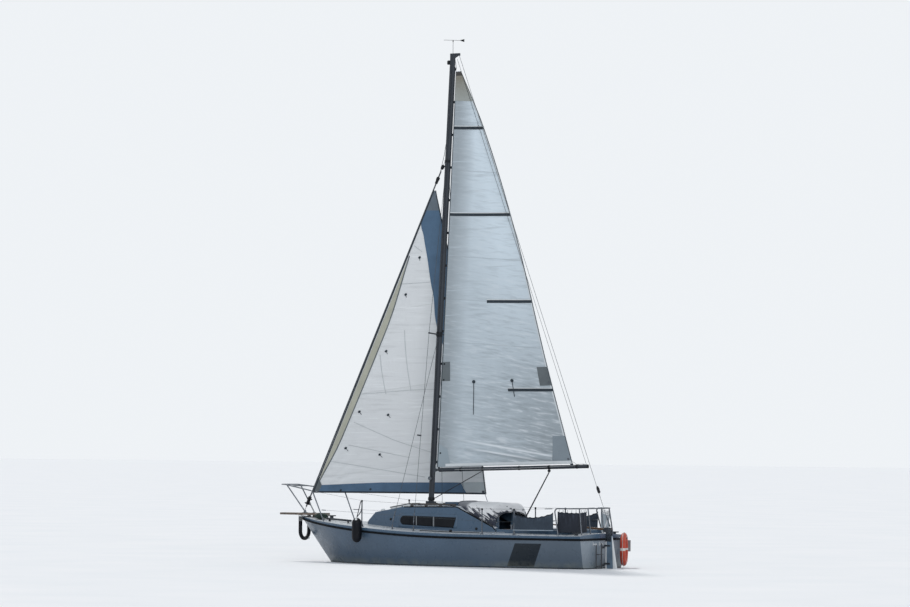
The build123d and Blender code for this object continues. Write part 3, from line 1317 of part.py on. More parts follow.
# Deck gear
with BuildPart() as winches:
    for side in (1, -1):
        with BuildSketch(Plane.XY.offset(COAMING_Z + SEAT)):
            with Locations((WINCH_X, side * WINCH_Y)):
                Circle(46)
        extrude(amount=12)
        with BuildSketch(Plane.XY.offset(COAMING_Z + SEAT + 12)):
            with Locations((WINCH_X, side * WINCH_Y)):
                Circle(32)
        extrude(amount=60)
        with BuildSketch(Plane.XY.offset(COAMING_Z + SEAT + 72)):
            with Locations((WINCH_X, side * WINCH_Y)):
                Circle(44)
        extrude(amount=20)
save(winches.part, "winches")

with BuildPart() as cleats:
    for x, y, z in CLEATS:
        add(block((x - 35, y - 14, z - 120), (x + 35, y + 14, z)))
        add(rod((x - 95, y, z), (x + 95, y, z), 11))
    add(hull_clear, mode=Mode.SUBTRACT)
save(cleats.part, "cleats")

with BuildPart() as genoa_tracks:
    add(hull_form(TRACK_RISE))
    with BuildPart(mode=Mode.PRIVATE) as strips:
        for side in (1, -1):
            add(block((TRACK_AFT_X, side * TRACK_Y - 14, 0), (TRACK_FRONT_X, side * TRACK_Y + 14, BEAM)))
    add(strips.part, mode=Mode.INTERSECT)
    add(hull_clear, mode=Mode.SUBTRACT)
    add(block((-LENGTH, -BEAM, -BEAM), (LENGTH, BEAM, STERN_SHEER_Z)), mode=Mode.SUBTRACT)
save(genoa_tracks.part, "genoa_tracks")

with BuildPart() as grab_rails:
    for side in (1, -1):
        y = side * GRAB_Y
        add(block((GRAB_AFT_X, y - 14, GRAB_Z - 30), (GRAB_FRONT_X, y + 14, GRAB_Z)))
        for index in range(GRAB_FEET):
            x = GRAB_AFT_X + 30 + index * (GRAB_FRONT_X - GRAB_AFT_X - 60) / (GRAB_FEET - 1)
            add(block((x - 30, y - 14, ROOF_Z - 60), (x + 30, y + 14, GRAB_Z - 1)))
    add(cabin_clear, mode=Mode.SUBTRACT)
save(grab_rails.part, "grab_rails")

with BuildPart() as traveller:
    x = tub_front_x - TRAVELLER_BACK
    add(block((x - 14, -TRAVELLER_HALF, SEAT_Z + SEAT), (x + 14, TRAVELLER_HALF, SEAT_Z + 18)))
    add(block((x - 30, -30, SEAT_Z + 17), (x + 30, 30, SEAT_Z + 60)))
save(traveller.part, "traveller")

with BuildPart() as mast_winch:
    with BuildSketch(Plane(origin=(mast_x(MAST_WINCH_Z), 0, MAST_WINCH_Z), z_dir=(0, 1, 0))):
        Circle(30)
    extrude(amount=MAST_WIDE / 2 + 50)
    with BuildSketch(Plane(origin=(mast_x(MAST_WINCH_Z), MAST_WIDE / 2 + 50, MAST_WINCH_Z), z_dir=(0, 1, 0))):
        Circle(38)
    extrude(amount=18)
    add(mast_clear, mode=Mode.SUBTRACT)
save(mast_winch.part, "mast_winch")
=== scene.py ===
import math

import bpy
from mathutils import Matrix, Vector, noise
from mathutils.bvhtree import BVHTree


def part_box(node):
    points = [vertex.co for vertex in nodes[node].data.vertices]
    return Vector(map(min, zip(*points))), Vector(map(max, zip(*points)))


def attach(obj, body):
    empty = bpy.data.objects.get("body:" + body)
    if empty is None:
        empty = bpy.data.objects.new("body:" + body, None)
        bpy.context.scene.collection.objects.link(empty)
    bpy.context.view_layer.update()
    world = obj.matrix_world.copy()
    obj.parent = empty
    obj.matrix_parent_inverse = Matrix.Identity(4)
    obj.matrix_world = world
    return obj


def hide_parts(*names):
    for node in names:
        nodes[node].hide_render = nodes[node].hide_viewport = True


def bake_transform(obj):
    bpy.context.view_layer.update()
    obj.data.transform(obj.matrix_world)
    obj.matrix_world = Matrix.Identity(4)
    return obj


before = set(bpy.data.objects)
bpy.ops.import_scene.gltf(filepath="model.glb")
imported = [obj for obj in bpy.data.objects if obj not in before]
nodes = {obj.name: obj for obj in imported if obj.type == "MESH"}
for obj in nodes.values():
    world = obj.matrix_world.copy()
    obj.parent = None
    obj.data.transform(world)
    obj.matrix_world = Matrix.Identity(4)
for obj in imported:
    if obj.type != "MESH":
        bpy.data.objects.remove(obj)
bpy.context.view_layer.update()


# Materials

class Value:
    """The value of a shader socket: a sum of values adds the maths nodes for it."""

    def __init__(self, paint, socket):
        self.paint, self.socket = paint, socket

    def __add__(self, other):
        return self.paint.maths("ADD", self, other)

    def __sub__(self, other):
        return self.paint.maths("SUBTRACT", self, other)

    def __rsub__(self, other):
        return self.paint.maths("SUBTRACT", other, self)

    def __mul__(self, other):
        return self.paint.maths("MULTIPLY", self, other)

    def __truediv__(self, other):
        return self.paint.maths("DIVIDE", self, other)

    def __abs__(self):
        return self.paint.maths("ABSOLUTE", self)


class Paint:
    """A procedural material with short ways to add its nodes."""

    def __init__(self, name, base, rough, metal=0.0, **sockets):
        self.mat = bpy.data.materials.new(name)
        self.mat.use_nodes = True
        self.tree = self.mat.node_tree
        self.base = base
        self.bsdf = self.tree.nodes["Principled BSDF"]
        self.fill(self.bsdf, Base_Color=(*base, 1), Roughness=rough, Metallic=metal, **sockets)
        self.space = self.add("TexCoord", "Object")
        self.normal = None

    def put(self, socket, value):
        if isinstance(value, Value):
            self.tree.links.new(value.socket, socket)
        else:
            socket.default_value = value

    def fill(self, node, **inputs):
        for key, value in inputs.items():
            self.put(node.inputs[key.replace("_", " ")], value)

    def add(self, kind, output=0, options=(), **inputs):
        node = self.tree.nodes.new("ShaderNode" + kind)
        for key, value in options:
            setattr(node, key, value)
        self.fill(node, **inputs)
        return Value(self, node.outputs[output])

    def listed(self, kind, options, values):
        # A node whose first inputs take these values in turn.
        value = self.add(kind, 0, options)
        for socket, item in zip(value.socket.node.inputs, values):
            self.put(socket, item)
        return value

    def maths(self, operation, *values):
        return self.listed("Math", [("operation", operation)], values)

    def span(self, value, low, high, start=0, end=1):
        return self.listed("MapRange", (), (value, low, high, start, end))

    def point(self, x, y, z):
        return self.add("CombineXYZ", X=x, Y=y, Z=z)

    def axes(self, source=None):
        first = self.add("SeparateXYZ", Vector=source or self.space)
        return [Value(self, socket) for socket in first.socket.node.outputs]

    def facing(self):
        return self.axes(self.add("NewGeometry", "True Normal"))

    def metres(self):
        return self.add("UVMap", options=[("uv_map", "metres")])

    def stretch(self, scale, source):
        return self.add("Mapping", Vector=source or self.space, Scale=scale)

    def noise(self, scale, detail=3, rough=0.5, source=None):
        # Three numbers as the scale stretch the pattern.
        if isinstance(scale, tuple):
            scale, source = 1, self.stretch(scale, source)
        return self.add("TexNoise", "Fac", Vector=source or self.space, Scale=scale, Detail=detail,
                        Roughness=rough)

    def drift(self, scale, detail, low=0.3, high=0.7, start=0, end=1, rough=0.5, source=None):
        return self.span(self.noise(scale, detail, rough, source), low, high, start, end)

    def wave(self, size, direction, distort, source=None):
        return self.add("TexWave", "Fac", [("bands_direction", direction)], Vector=self.stretch(size, source),
                        Scale=1, Distortion=distort)

    def weave(self, size, distort=0.4):
        across, along = (self.wave((size,) * 3, axis, distort, self.metres()) for axis in "XY")
        return across + along

    def pick(self, value):
        # A random number for each whole step of the value.
        return self.add("TexWhiteNoise", "Value", [("noise_dimensions", "1D")], W=self.maths("FLOOR", value))

    def between(self, value, low, high, edge=0.002):
        return self.span(value, low - edge, low + edge) * self.span(value, high - edge, high + edge, 1, 0)

    def mix(self, share, a, b):
        value = self.add("Mix", 2, [("data_type", "RGBA")])
        for index, item in ((0, share), (6, a), (7, b)):
            self.put(value.socket.node.inputs[index], (*item, 1) if isinstance(item, tuple) else item)
        return value

    def toned(self, share, tone, factor):
        # The tone, with a stronger or weaker base colour over it.
        return self.mix(share, tone, shade(self.base, factor))

    def shades(self, share, low, high):
        return self.mix(share, shade(self.base, low), shade(self.base, high))

    def colour(self, value):
        self.fill(self.bsdf, Base_Color=value)

    def rough(self, value):
        self.fill(self.bsdf, Roughness=value)

    def bump(self, height, distance, strength=0.6):
        below = {"Normal": self.normal} if self.normal else {}
        self.normal = self.add("Bump", Height=height, Distance=distance, Strength=strength, **below)
        self.fill(self.bsdf, Normal=self.normal)


def shade(colour, factor):
    return tuple(min(1.0, c * factor) for c in colour)


def worn_paint(name, colour, rough=0.4, metal=0.0, scale=4.0, vary=0.12, grain=60.0, depth=0.0004, **sockets):
    # A surface whose tone and gloss drift, with a fine grain: plastic, paint, metal.
    p = Paint(name, colour, rough, metal, **sockets)
    p.colour(p.shades(p.drift(scale, 4, rough=0.6), 1 - vary, 1 + vary))
    p.rough(p.drift(scale * 4, 5, 0.3, 0.75, max(0.04, rough * 0.75), min(1.0, rough * 1.3), 0.6))
    if depth:
        p.bump(p.noise(grain), depth)
    return p


def worn(*settings, **sockets):
    return worn_paint(*settings, **sockets).mat


def gelcoat(name, colour, top=None):
    # Moulded plastic: faint streaks downward and dull patches. Faces that look up may have a paler tone, a
    # painted lit top.
    p = Paint(name, colour, 0.34, Specular_IOR_Level=0.3, Coat_Weight=0.08, Coat_Roughness=0.25)
    tone = p.shades(p.drift(1.6, 4, 0.35), 0.92, 1.05)
    if top:
        # Painted lit top: faces that look up take the paler top colour
        tone = p.mix(p.span(p.facing()[2], 0.7, 0.9), tone, top)
    p.tone = p.toned(p.drift((9, 9, 0.7), 2, 0.48, 0.72, 0, 0.16), tone, 0.72)
    p.rough(p.drift(7, 5, 0.3, 0.7, 0.22, 0.42))
    p.bump(p.noise(2.2, 2), 0.002, 0.25)
    return p


def hull_paint():
    # Painted shade: the dark slate colour stands for the white hull in shade
    p = gelcoat("white_hull_painted_shade", (0.07, 0.11, 0.162))
    x, y, z = p.axes()
    # Painted light: greyer towards both ends and paler on the transom; darker low down
    ends = p.span(x, -2.6, -0.8, 0.55, 0) + p.span(x, 2.2, 3.4, 0, 0.45)
    tone = p.mix(ends, p.tone, (0.135, 0.16, 0.185))
    tone = p.mix(p.span(p.facing()[0], -0.8, -0.6, 0.8, 0), tone, (0.27, 0.32, 0.37))
    tone = p.mix(p.span(z, 0.05, 0.5, 0.4, 0), tone, (0.036, 0.062, 0.096))
    # The slanting dark panel on each quarter
    panel = p.between(z * 0.44 + x, -2.44, -1.88) * p.between(z, 0.035, 0.485, 0.003)
    tone = p.mix(panel * p.span(abs(y), 0.7, 0.72), tone, (0.009, 0.016, 0.024))
    # Waterline stain, a thin dark line of painted reflection at the waterline, and bottom paint
    tone = p.mix(p.span(z, 0.03, 0.16, 0.55, 0) * p.drift(5, 6, rough=0.65), tone, (0.22, 0.23, 0.18))
    tone = p.mix(p.between(z, -0.01, 0.022), tone, (0.03, 0.04, 0.05))
    low = p.mix(p.drift(11, 6, 0.35), (0.02, 0.035, 0.07), (0.05, 0.075, 0.12))
    p.colour(p.mix(p.span(z, -0.012, -0.006, 1, 0), tone, low))
    return p.mat


def deck_paint(name, grip, side=(0.066, 0.114, 0.176)):
    # Moulded deck: smooth margins, and grit on the flat places inside them.
    # Painted light: the blue-grey side colour is painted shade on white gelcoat, and the pale colour for
    # faces that look up is a painted lit top
    p = gelcoat(name, side, (0.64, 0.67, 0.7))
    area = p.span(p.facing()[2], 0.93, 0.97) * grip(p)
    p.colour(p.mix(area * p.drift(6, 5, 0.3, 0.7, 0.25, 0.6), p.tone, (0.5, 0.54, 0.57)))
    cells = p.add("TexVoronoi", "Distance", Vector=p.space, Scale=170)
    p.bump(p.span(cells, 0.1, 0.5, 1, 0) * area, 0.0012, 0.7)
    return p.mat


def side_deck_grip(p):
    # Grit between the rail and the cabin, broken into panels by smooth strips.
    x, y = p.axes()[:2]
    return p.between(p.maths("FRACT", x * 1.15), 0.05, 0.95, 0.01) * p.span(abs(y), 0.03, 0.05)


def roof_grip(p):
    x, y = p.axes()[:2]
    return p.between(abs(y), 0.06, 0.46, 0.006) * p.between(p.maths("FRACT", x * 1.3), 0.06, 0.94, 0.01)


def planks(name, colour, width, gloss):
    # Teak: caulked planks, each of its own tone, with grain along them.
    p = Paint(name, colour, gloss)
    count = p.axes()[1] / width
    grain = p.noise((3, 60, 60), 6, 0.65)
    tone = p.shades(p.span(grain, 0.3, 0.7), 0.62, 1.35)
    tone = p.toned(p.pick(count) * 0.35, tone, 0.7)
    tone = p.mix(p.drift(2.5, 4, 0.4, 0.75, 0, 0.4), tone, (0.33, 0.3, 0.27))
    seam = p.between(p.maths("FRACT", count), 0.045, 0.955, 0.02)
    p.colour(p.mix(seam, (0.02, 0.02, 0.02), tone))
    p.bump(grain * 0.3 + seam, 0.0015, 0.5)
    return p.mat


def timber(name, colour, rough=0.3):
    p = Paint(name, colour, rough, Coat_Weight=0.4, Coat_Roughness=0.15)
    grain = p.noise((2.5, 55, 55), 6, 0.65)
    tone = p.shades(p.span(grain, 0.3, 0.7), 0.6, 1.3)
    p.colour(p.toned(p.span(p.wave((0.8, 22, 14), "Y", 6), 0.4, 1, 0, 0.35), tone, 0.5))
    p.bump(grain, 0.0006, 0.4)
    return p.mat


def canvas(name, colour, threads=240.0, rough=0.85, fade=0.18, gathered=None):
    # Woven acrylic canvas: weave, sun fade in clouds, dusty folds. Gathers get painted highlights on their
    # pleats under the top edge.
    p = Paint(name, colour, rough, Sheen_Weight=0.06, Sheen_Roughness=0.5, Specular_IOR_Level=0.25)
    tone = p.shades(p.drift(2.6, 5, rough=0.6), 1 - fade, 1 + fade)
    tone = p.toned(p.drift(180, 2, 0.35, 0.7, 0, 0.3), tone, 0.7)
    if gathered:
        pleat_highlights = p.drift((26, 3, 1), 3, 0.5, 0.66, rough=0.6, source=p.metres())
        tone = p.toned(pleat_highlights * p.span(p.axes(p.metres())[1], *gathered, 0, 0.45), tone, 3.2)
    p.colour(tone)
    p.bump(p.weave(threads), 0.0004, 0.5)
    p.bump(p.noise(9), 0.006, 0.35)
    return p.mat


def crumpled(name, colour, dark):
    # Pale canvas let down in loose folds, with painted shade in the hollows, more so low down.
    p = Paint(name, colour, 0.75, Sheen_Weight=0.2)
    x, y, z = p.axes()
    slant = p.point(x * 0.5 + z * -0.85, x * 0.85 + z * 0.5, y)
    depth = p.noise((38, 6, 7), 4, 0.6, slant) * 0.3 + p.noise((17, 2.6, 3), 4, 0.6, slant)
    hollow_shade = p.span(depth - p.span(z, 1, 1.24, 0.26, 0), 0.44, 0.48, 1, 0)
    tone = p.mix(hollow_shade, p.shades(p.drift(3, 4), 0.9, 1), dark)
    front = p.span(x, -0.8, -0.7) * p.span(z, 1.15, 1.2, 1, 0.8)
    p.colour(p.mix(front, tone, shade(dark, 1.4)))
    p.bump(depth, 0.03, 0.6)
    p.bump(p.weave(240), 0.0004, 0.4)
    return p.mat


def sailcloth(name, colour, panel, tilt, creases, stain, seams, luff=0.0, ridges=()):
    # Woven polyester: cross seams with stitching, a fine grid and long creases. A luff also brings painted
    # shadows, and wrinkles and crests get painted shade and highlights.
    p = Paint(name, colour, 0.62, Sheen_Weight=0.15)
    u, v = p.axes(p.metres())[:2]
    count = (u * tilt + v) / panel
    part = p.maths("FRACT", count)
    edge = p.maths("MINIMUM", part, 1 - part) * panel
    seam = p.span(edge, 0.008, 0.01, 1, 0)
    dashes = p.span(p.maths("FRACT", u * 60), 0.55, 0.65, 1, 0) * seams
    stitch = p.span(abs(edge - 0.007), 0.0012, 0.0022, 1, 0) * dashes
    tone = p.shades(p.pick(count), 0.96, 1.02)
    tone = p.toned(p.drift(0.9, 5, 0.35, 0.75, 0, stain, 0.6), tone, 0.86)
    if luff:
        # Painted light: thin and lit towards the leech higher up, painted shadow at the luff and low down
        # aft, with painted shade and highlights on the ripples there
        share = u / (v * -0.345 + 2.87)
        tone = p.toned(p.span(v, 1.6, 4.5) * p.span(share, 0.25, 0.8, 0.25, 0.85), tone, 1.5)
        tone = p.toned(p.span(v, 0.2, 2.6, 0.65, 0) * p.span(share, 0.3, 0.85), tone, 0.52)
        tone = p.toned(p.span(p.noise(1.5) * 0.2 + u, 0.2, 0.55, luff, 0), tone, 0.5)
        ripple = p.noise((2.6, 17, 1), 3, 0.55, p.point(u, u * 0.22 + v, 0))
        force = p.span(v, 0.3, 4, 1, 0.3) * p.span(share, 0.15, 0.55, 0.45, 1)
        tone = p.toned(p.span(ripple, 0.53, 0.66, 0, 0.55) * force, tone, 0.5)
        tone = p.mix(p.span(ripple, 0.34, 0.46, 0.6, 0) * force, tone, (0.72, 0.76, 0.79))
        p.bump(ripple, 0.015, 0.3)
    tone = p.toned(seam * seams, tone, 0.72)
    wrinkle_relief_and_shade = p.noise((1, 14, 1), 4, 0.6, p.metres())
    # Painted shade in the wrinkles and painted highlights between them
    tone = p.toned(p.span(wrinkle_relief_and_shade, 0.54, 0.68, 0, 0.4), tone, 0.72)
    tone = p.toned(p.span(wrinkle_relief_and_shade, 0.3, 0.42, 0.45, 0), tone, 1.25)
    for x0, h0, x1, h1, half in ridges:
        # A lit crest along a long crease, fading at both ends
        run, rise = x1 - x0, h1 - h0
        size = math.hypot(run, rise)
        away = v * (run / size) + (u * (-rise / size) + (x0 * rise - h0 * run) / size)
        along = p.span(u, x0, x0 + 0.3 * run) * p.span(u, x1 - 0.2 * run, x1, 1, 0)
        tone = p.mix(p.span(abs(away), 0.2 * half, half, 0.7, 0) * along, tone, (0.8, 0.84, 0.87))
    p.colour(p.toned(stitch, tone, 0.5))
    p.bump(p.weave(420, 0), 0.0002, 0.35)
    p.bump(seam, 0.0012, 0.8)
    p.bump(wrinkle_relief_and_shade, 0.012, 0.35)
    p.bump(p.noise(creases, 4, 0.55, p.metres()), 0.02, 0.45)
    p.rough(p.drift(30, 3, 0.3, 0.7, 0.5, 0.75))
    return p.mat


def head_cloth():
    # The stiffened head of the mainsail, browner towards its top plate
    p = Paint("head_cloth", (0.33, 0.34, 0.31), 0.7)
    v = p.axes(p.metres())[1]
    tone = p.mix(p.span(p.noise(9, 4) * 0.2 + v, 7.55, 7.98), (0.32, 0.34, 0.32), (0.21, 0.2, 0.165))
    p.colour(p.mix(p.span(v, 7.905, 7.915), tone, (0.05, 0.046, 0.042)))
    p.bump(p.weave(300), 0.0004, 0.5)
    return p.mat


def rope_paint(name, colour, fleck):
    p = Paint(name, colour, 0.8)
    lay = p.wave((420,) * 3, "DIAGONAL", 0.6)
    tone = p.shades(p.span(lay, 0.3, 0.8), 0.6, 1.15)
    p.colour(p.mix(p.drift(260, 2, 0.62, 0.68), tone, fleck))
    p.bump(lay, 0.0008, 0.6)
    return p.mat


def pane():
    p = Paint("dark_pane", (0.008, 0.01, 0.013), 0.22, IOR=1.45, Specular_IOR_Level=0.14)
    p.colour(p.mix(p.drift(3, 4, 0.35), (0.005, 0.007, 0.01), (0.012, 0.014, 0.018)))
    p.rough(p.drift(16, 5, 0.35, 0.75, 0.05, 0.22))
    return p.mat


def rudder_paint():
    # A white rudder: blue grey faces of painted shade, with narrow painted highlights along the leading and
    # trailing edges
    p = worn_paint("rudder_shade_and_edge_light", (0.1, 0.15, 0.21), 0.45)
    x, _, z = p.axes()
    trailing_highlight = p.span(x - (p.span(z, -0.9, 0.64) * 0.075 + -3.735), -0.006, 0.002, 1, 0)
    face = p.mix(p.drift(6, 5), (0.08, 0.12, 0.17), (0.13, 0.19, 0.25))
    tone = p.mix(p.maths("MAXIMUM", p.span(x, -3.553, -3.547), trailing_highlight), face, (0.66, 0.68, 0.69))
    p.colour(p.mix(p.span(z, -0.02, 0, 1, 0), tone, (0.04, 0.06, 0.1)))
    return p.mat


def buoy_paint(centre, across):
    # Red orange ring with four light bands round it
    p = Paint("buoy_orange", (0.55, 0.08, 0.02), 0.5)
    x, y, z = p.axes()
    side = (x - centre[0]) * across[0] + (y - centre[1]) * across[1]
    part = p.maths("FRACT", (p.maths("ARCTAN2", z - centre[2], side) + 3.93) / (math.pi / 2))
    tone = p.mix(p.drift(9, 5), (0.36, 0.03, 0.012), (0.5, 0.06, 0.02))
    p.colour(p.mix(p.between(part, 0.45, 0.55, 0.006), tone, (0.6, 0.6, 0.57)))
    p.bump(p.noise(60), 0.0008, 0.4)
    return p.mat


BUOY_CENTRE = Vector((-3.64, -0.54, 0.37))
BUOY_AXIS = Vector((-math.cos(math.radians(22)), -math.sin(math.radians(22)), 0))
BUOY_ACROSS = Vector((0, 0, 1)).cross(BUOY_AXIS)

# Lit crests on the mainsail: start and end as distance aft and height over the gooseneck, half width
MAIN_RIDGES = [(0.3, 0.62, 2.7, 0.16, 0.03), (0.6, 0.42, 2.25, 0.12, 0.026), (2.2, 0.1, 2.8, 0.05, 0.024)]

ROOF = deck_paint("roof_grip", roof_grip)
PANE = pane()
# Name, colour, roughness, metal, scale and strength of the drift, scale and depth of the grain
RUBBER = worn("black_rubber", (0.005, 0.006, 0.008), 0.8, vary=0.3, Specular_IOR_Level=0.12)
WHITE = worn("white_plastic", (0.68, 0.7, 0.71), 0.35, vary=0.05)
BAR_GREY = worn("bar_grey", (0.175, 0.19, 0.205), vary=0.08)
BLACK = worn("black_plastic", (0.008, 0.01, 0.013), 0.5, vary=0.25, Specular_IOR_Level=0.2)
# Painted shade: the stainless steel is darkened for shade and painted dark reflections
SHADED_STEEL = worn("steel", (0.11, 0.122, 0.14), 0.3, 1, 9, 0.14, 300, 0.0001)
RIG = worn("rig_wire", (0.055, 0.065, 0.075), 0.45, 0.4, 14, 0.25, 300, 0.0001)
ANODISED = worn("anodised", (0.02, 0.026, 0.035), 0.52, 0.25, 2, 0.25, 240, 0.0002)
# The mainsail's grey-blue colour is painted shade over pale sailcloth
# Name, colour, panel height, tilt of the seams, scale of the creases, stain, seams, luff's shadow, ridges
MAIN_CLOTH = sailcloth("main_cloth", (0.46, 0.525, 0.57), 0.86, 0.1, (0.5, 2.6, 1), 0.32, 0.35, 0.7,
                       MAIN_RIDGES)
GENOA_CLOTH = sailcloth("genoa_cloth", (0.73, 0.75, 0.76), 1.7, -0.16, (0.45, 2, 1), 0.24, 0.25)
HEAD_CLOTH = head_cloth()

# Name, colour, threads, roughness and fade
BLUE_STRIP = canvas("sun_strip_blue", (0.085, 0.15, 0.235), 300, 0.7, 0.14)
HEAD_STRIP = canvas("sun_strip_head", (0.13, 0.16, 0.19), 300, 0.7, 0.14)
PATCH_CLOTH = canvas("patch_cloth", (0.24, 0.285, 0.32), 320, 0.7, 0.08)
# The tack patch takes the mainsail's painted luff shadow tone
TACK_CLOTH = canvas("tack_cloth", (0.31, 0.37, 0.41), 320, 0.7, 0.08)
CLEW_CLOTH = canvas("clew_cloth", (0.47, 0.52, 0.54), 320, 0.7, 0.08)
DULL_PATCH = canvas("dull_patch", (0.13, 0.15, 0.16), 320, 0.75, 0.15)
PALE_TAPE = canvas("pale_tape", (0.66, 0.7, 0.72), 320, 0.7, 0.06)
BEIGE_CLOTH = canvas("beige_pad", (0.46, 0.46, 0.38), 320, 0.7, 0.1)
SEAM_TAPE = canvas("seam_tape", (0.56, 0.59, 0.6), 320, 0.7, 0.1)
DARK_TAPE = canvas("dark_tape", (0.03, 0.04, 0.05), 320, 0.8, 0.1)
# Gathered: painted highlights on the pleats under the top edge
BLUE_CANVAS = canvas("cloth_grey_blue", (0.042, 0.058, 0.08), gathered=(0.9, 1.03))
HEM_CANVAS = canvas("cloth_hem", (0.018, 0.025, 0.036))
PALE_HEM = canvas("cloth_pale_hem", (0.3, 0.36, 0.42))
# Gathered too: painted highlights on its pleats
DARK_CANVAS = canvas("cloth_dark", (0.022, 0.027, 0.038), gathered=(0.8, 1.05))
LIGHT_CANVAS = canvas("cloth_light", (0.36, 0.42, 0.46))
WHITE_CANVAS = canvas("cloth_white", (0.72, 0.74, 0.75), 240, 0.8, 0.06)
GREEN_CANVAS = canvas("bag_green", (0.015, 0.03, 0.025), 220)
# The hood's dark colour is the painted shade in its hollows
HOOD_CANVAS = crumpled("hood_cloth", (0.8, 0.81, 0.82), (0.012, 0.018, 0.036))
ROPE_WHITE = rope_paint("rope_white", (0.5, 0.51, 0.5), (0.08, 0.12, 0.3))
ROPE_DARK = rope_paint("rope_dark", (0.025, 0.03, 0.04), (0.2, 0.2, 0.2))
ROPE_BLUE = rope_paint("rope_blue", (0.05, 0.08, 0.16), (0.45, 0.46, 0.46))

CAD_LOOKS = {
    hull_paint(): "hull",
    deck_paint("deck_grip", side_deck_grip): "deck coaming",
    deck_paint("cockpit_grip", side_deck_grip, (0.33, 0.38, 0.42)): "cockpit",
    ROOF: "coachroof companion_hatch hatch_garage",
    PANE: "windows",
    planks("teak_slats", (0.26, 0.175, 0.105), 0.06, 0.45): "locker_lid_port locker_lid_starboard",
    timber("teak_trim", (0.26, 0.15, 0.085)): "washboard",
    timber("grey_teak", (0.036, 0.032, 0.03), 0.55): "grab_rails",
    timber("tiller_wood", (0.115, 0.068, 0.04), 0.25): "tiller",
    planks("teak_planks", (0.115, 0.085, 0.065), 0.045, 0.55): "bow_platform",
    RUBBER: "rub_rail",
    WHITE: "fore_hatch_frame ladder_brackets",
    worn("smoked_acrylic", (0.04, 0.045, 0.05), 0.14, vary=0.3, depth=0, Coat_Weight=0.5): "fore_hatch_lid",
    worn("bottom_paint", (0.035, 0.052, 0.09), 0.75, 0, 3, 0.3, 90, 0.001): "keel",
    rudder_paint(): "rudder_blade",
    worn("dark_steel", (0.06, 0.066, 0.075), 0.45, 0.6, 9, 0.2, 300, 0.0001): "boarding_ladder",
    SHADED_STEEL: "rudder_pintles rudder_gudgeons rudder_head chainplates backstay_plate gooseneck stem_fitting "
           "pulpit pushpit stanchions lifebuoy_bracket winches mast_winch",
    RIG: "shrouds backstay forestay",
    ANODISED: "mast mast_step spreaders masthead_crane boom mast_track cleats genoa_tracks traveller",
    BLACK: "wind_vane luff_slides furler_drum furler_swivel",
    worn("fender_vinyl", (0.004, 0.005, 0.008), 0.5, 0, 6, 0.3, Specular_IOR_Level=0.15): "bow_fender fender",
    buoy_paint(BUOY_CENTRE, BUOY_ACROSS): "lifebuoy",
    worn("grey_plastic", (0.15, 0.135, 0.14), 0.45, vary=0.08): "lifebuoy_light",
}
for material, names in CAD_LOOKS.items():
    for name in names.split():
        nodes[name].data.materials.clear()
        nodes[name].data.materials.append(material)


# Shapes

def join(parts):
    # A part is a list of points, a list of faces and a uv in metres for each point.
    verts, faces, uvs = [], [], []
    for part_verts, part_faces, part_uvs in parts:
        faces += [tuple(i + len(verts) for i in face) for face in part_faces]
        verts += part_verts
        uvs += part_uvs
    return verts, faces, uvs


def piece(name, parts, material, body="boat", smooth=True):
    verts, faces, uvs = join(parts)
    mesh = bpy.data.meshes.new(name)
    mesh.from_pydata([tuple(v) for v in verts], [], faces)
    mesh.update()
    mesh.materials.append(material)
    layer = mesh.uv_layers.new(name="metres")
    for loop in mesh.loops:
        layer.data[loop.index].uv = uvs[loop.vertex_index]
    if smooth:
        mesh.shade_smooth()
    obj = bpy.data.objects.new(name, mesh)
    bpy.context.collection.objects.link(obj)
    if body:
        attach(obj, body)
    return obj


def grid_faces(columns, rows, wrap=False):
    faces = []
    for j in range(rows - 1):
        for i in range(columns if wrap else columns - 1):
            k = (i + 1) % columns
            faces.append((j * columns + i, j * columns + k, (j + 1) * columns + k, (j + 1) * columns + i))
    return faces


def closed_faces(columns, rows):
    return grid_faces(columns, rows, True) + [tuple(range(columns - 1, -1, -1)),
                                              tuple(range((rows - 1) * columns, rows * columns))]


def sheet_part(columns, rows, at):
    # at(s, t), from 0 to 1 each way, gives a point and its uv.
    found = [at(i / (columns - 1), j / (rows - 1)) for j in range(rows) for i in range(columns)]
    return [p for p, uv in found], grid_faces(columns, rows), [uv for p, uv in found]


def ribbon_part(rows):
    # Rows of two points and their two uvs.
    points = [p for row in rows for p in row[:2]]
    return points, grid_faces(2, len(rows)), [uv for row in rows for uv in row[2:]]


def two_sided(layer, front=1):
    # The same layer on both faces of a cloth; layer(side) gives its part.
    parts = []
    for side in (1, -1):
        verts, faces, uvs = layer(side)
        parts.append((verts, [f[::side * front] for f in faces], uvs))
    return join(parts)


def rings_part(rings, sides):
    # Each ring is a centre, two side directions, a radius and a length for its uvs.
    verts, uvs = [], []
    for centre, a, b, radius, length in rings:
        for k in range(sides):
            t = 2 * math.pi * k / sides
            verts.append(centre + (a * math.cos(t) + b * math.sin(t)) * radius)
            uvs.append((radius * t, length))
    return verts, closed_faces(sides, len(rings)), uvs


def smooth_path(points, steps=8):
    # Catmull-Rom points through the given ones.
    if len(points) == 2:
        return points
    ends = [points[0] * 2 - points[1], *points, points[-1] * 2 - points[-2]]
    out = []
    for i in range(len(points) - 1):
        a, b, c, d = ends[i:i + 4]
        for s in range(steps):
            t = s / steps
            out.append(0.5 * (2 * b + (c - a) * t + (2 * a - 5 * b + 4 * c - d) * t * t
                              + (3 * b - a - 3 * c + d) * t ** 3))
    return out + [points[-1]]


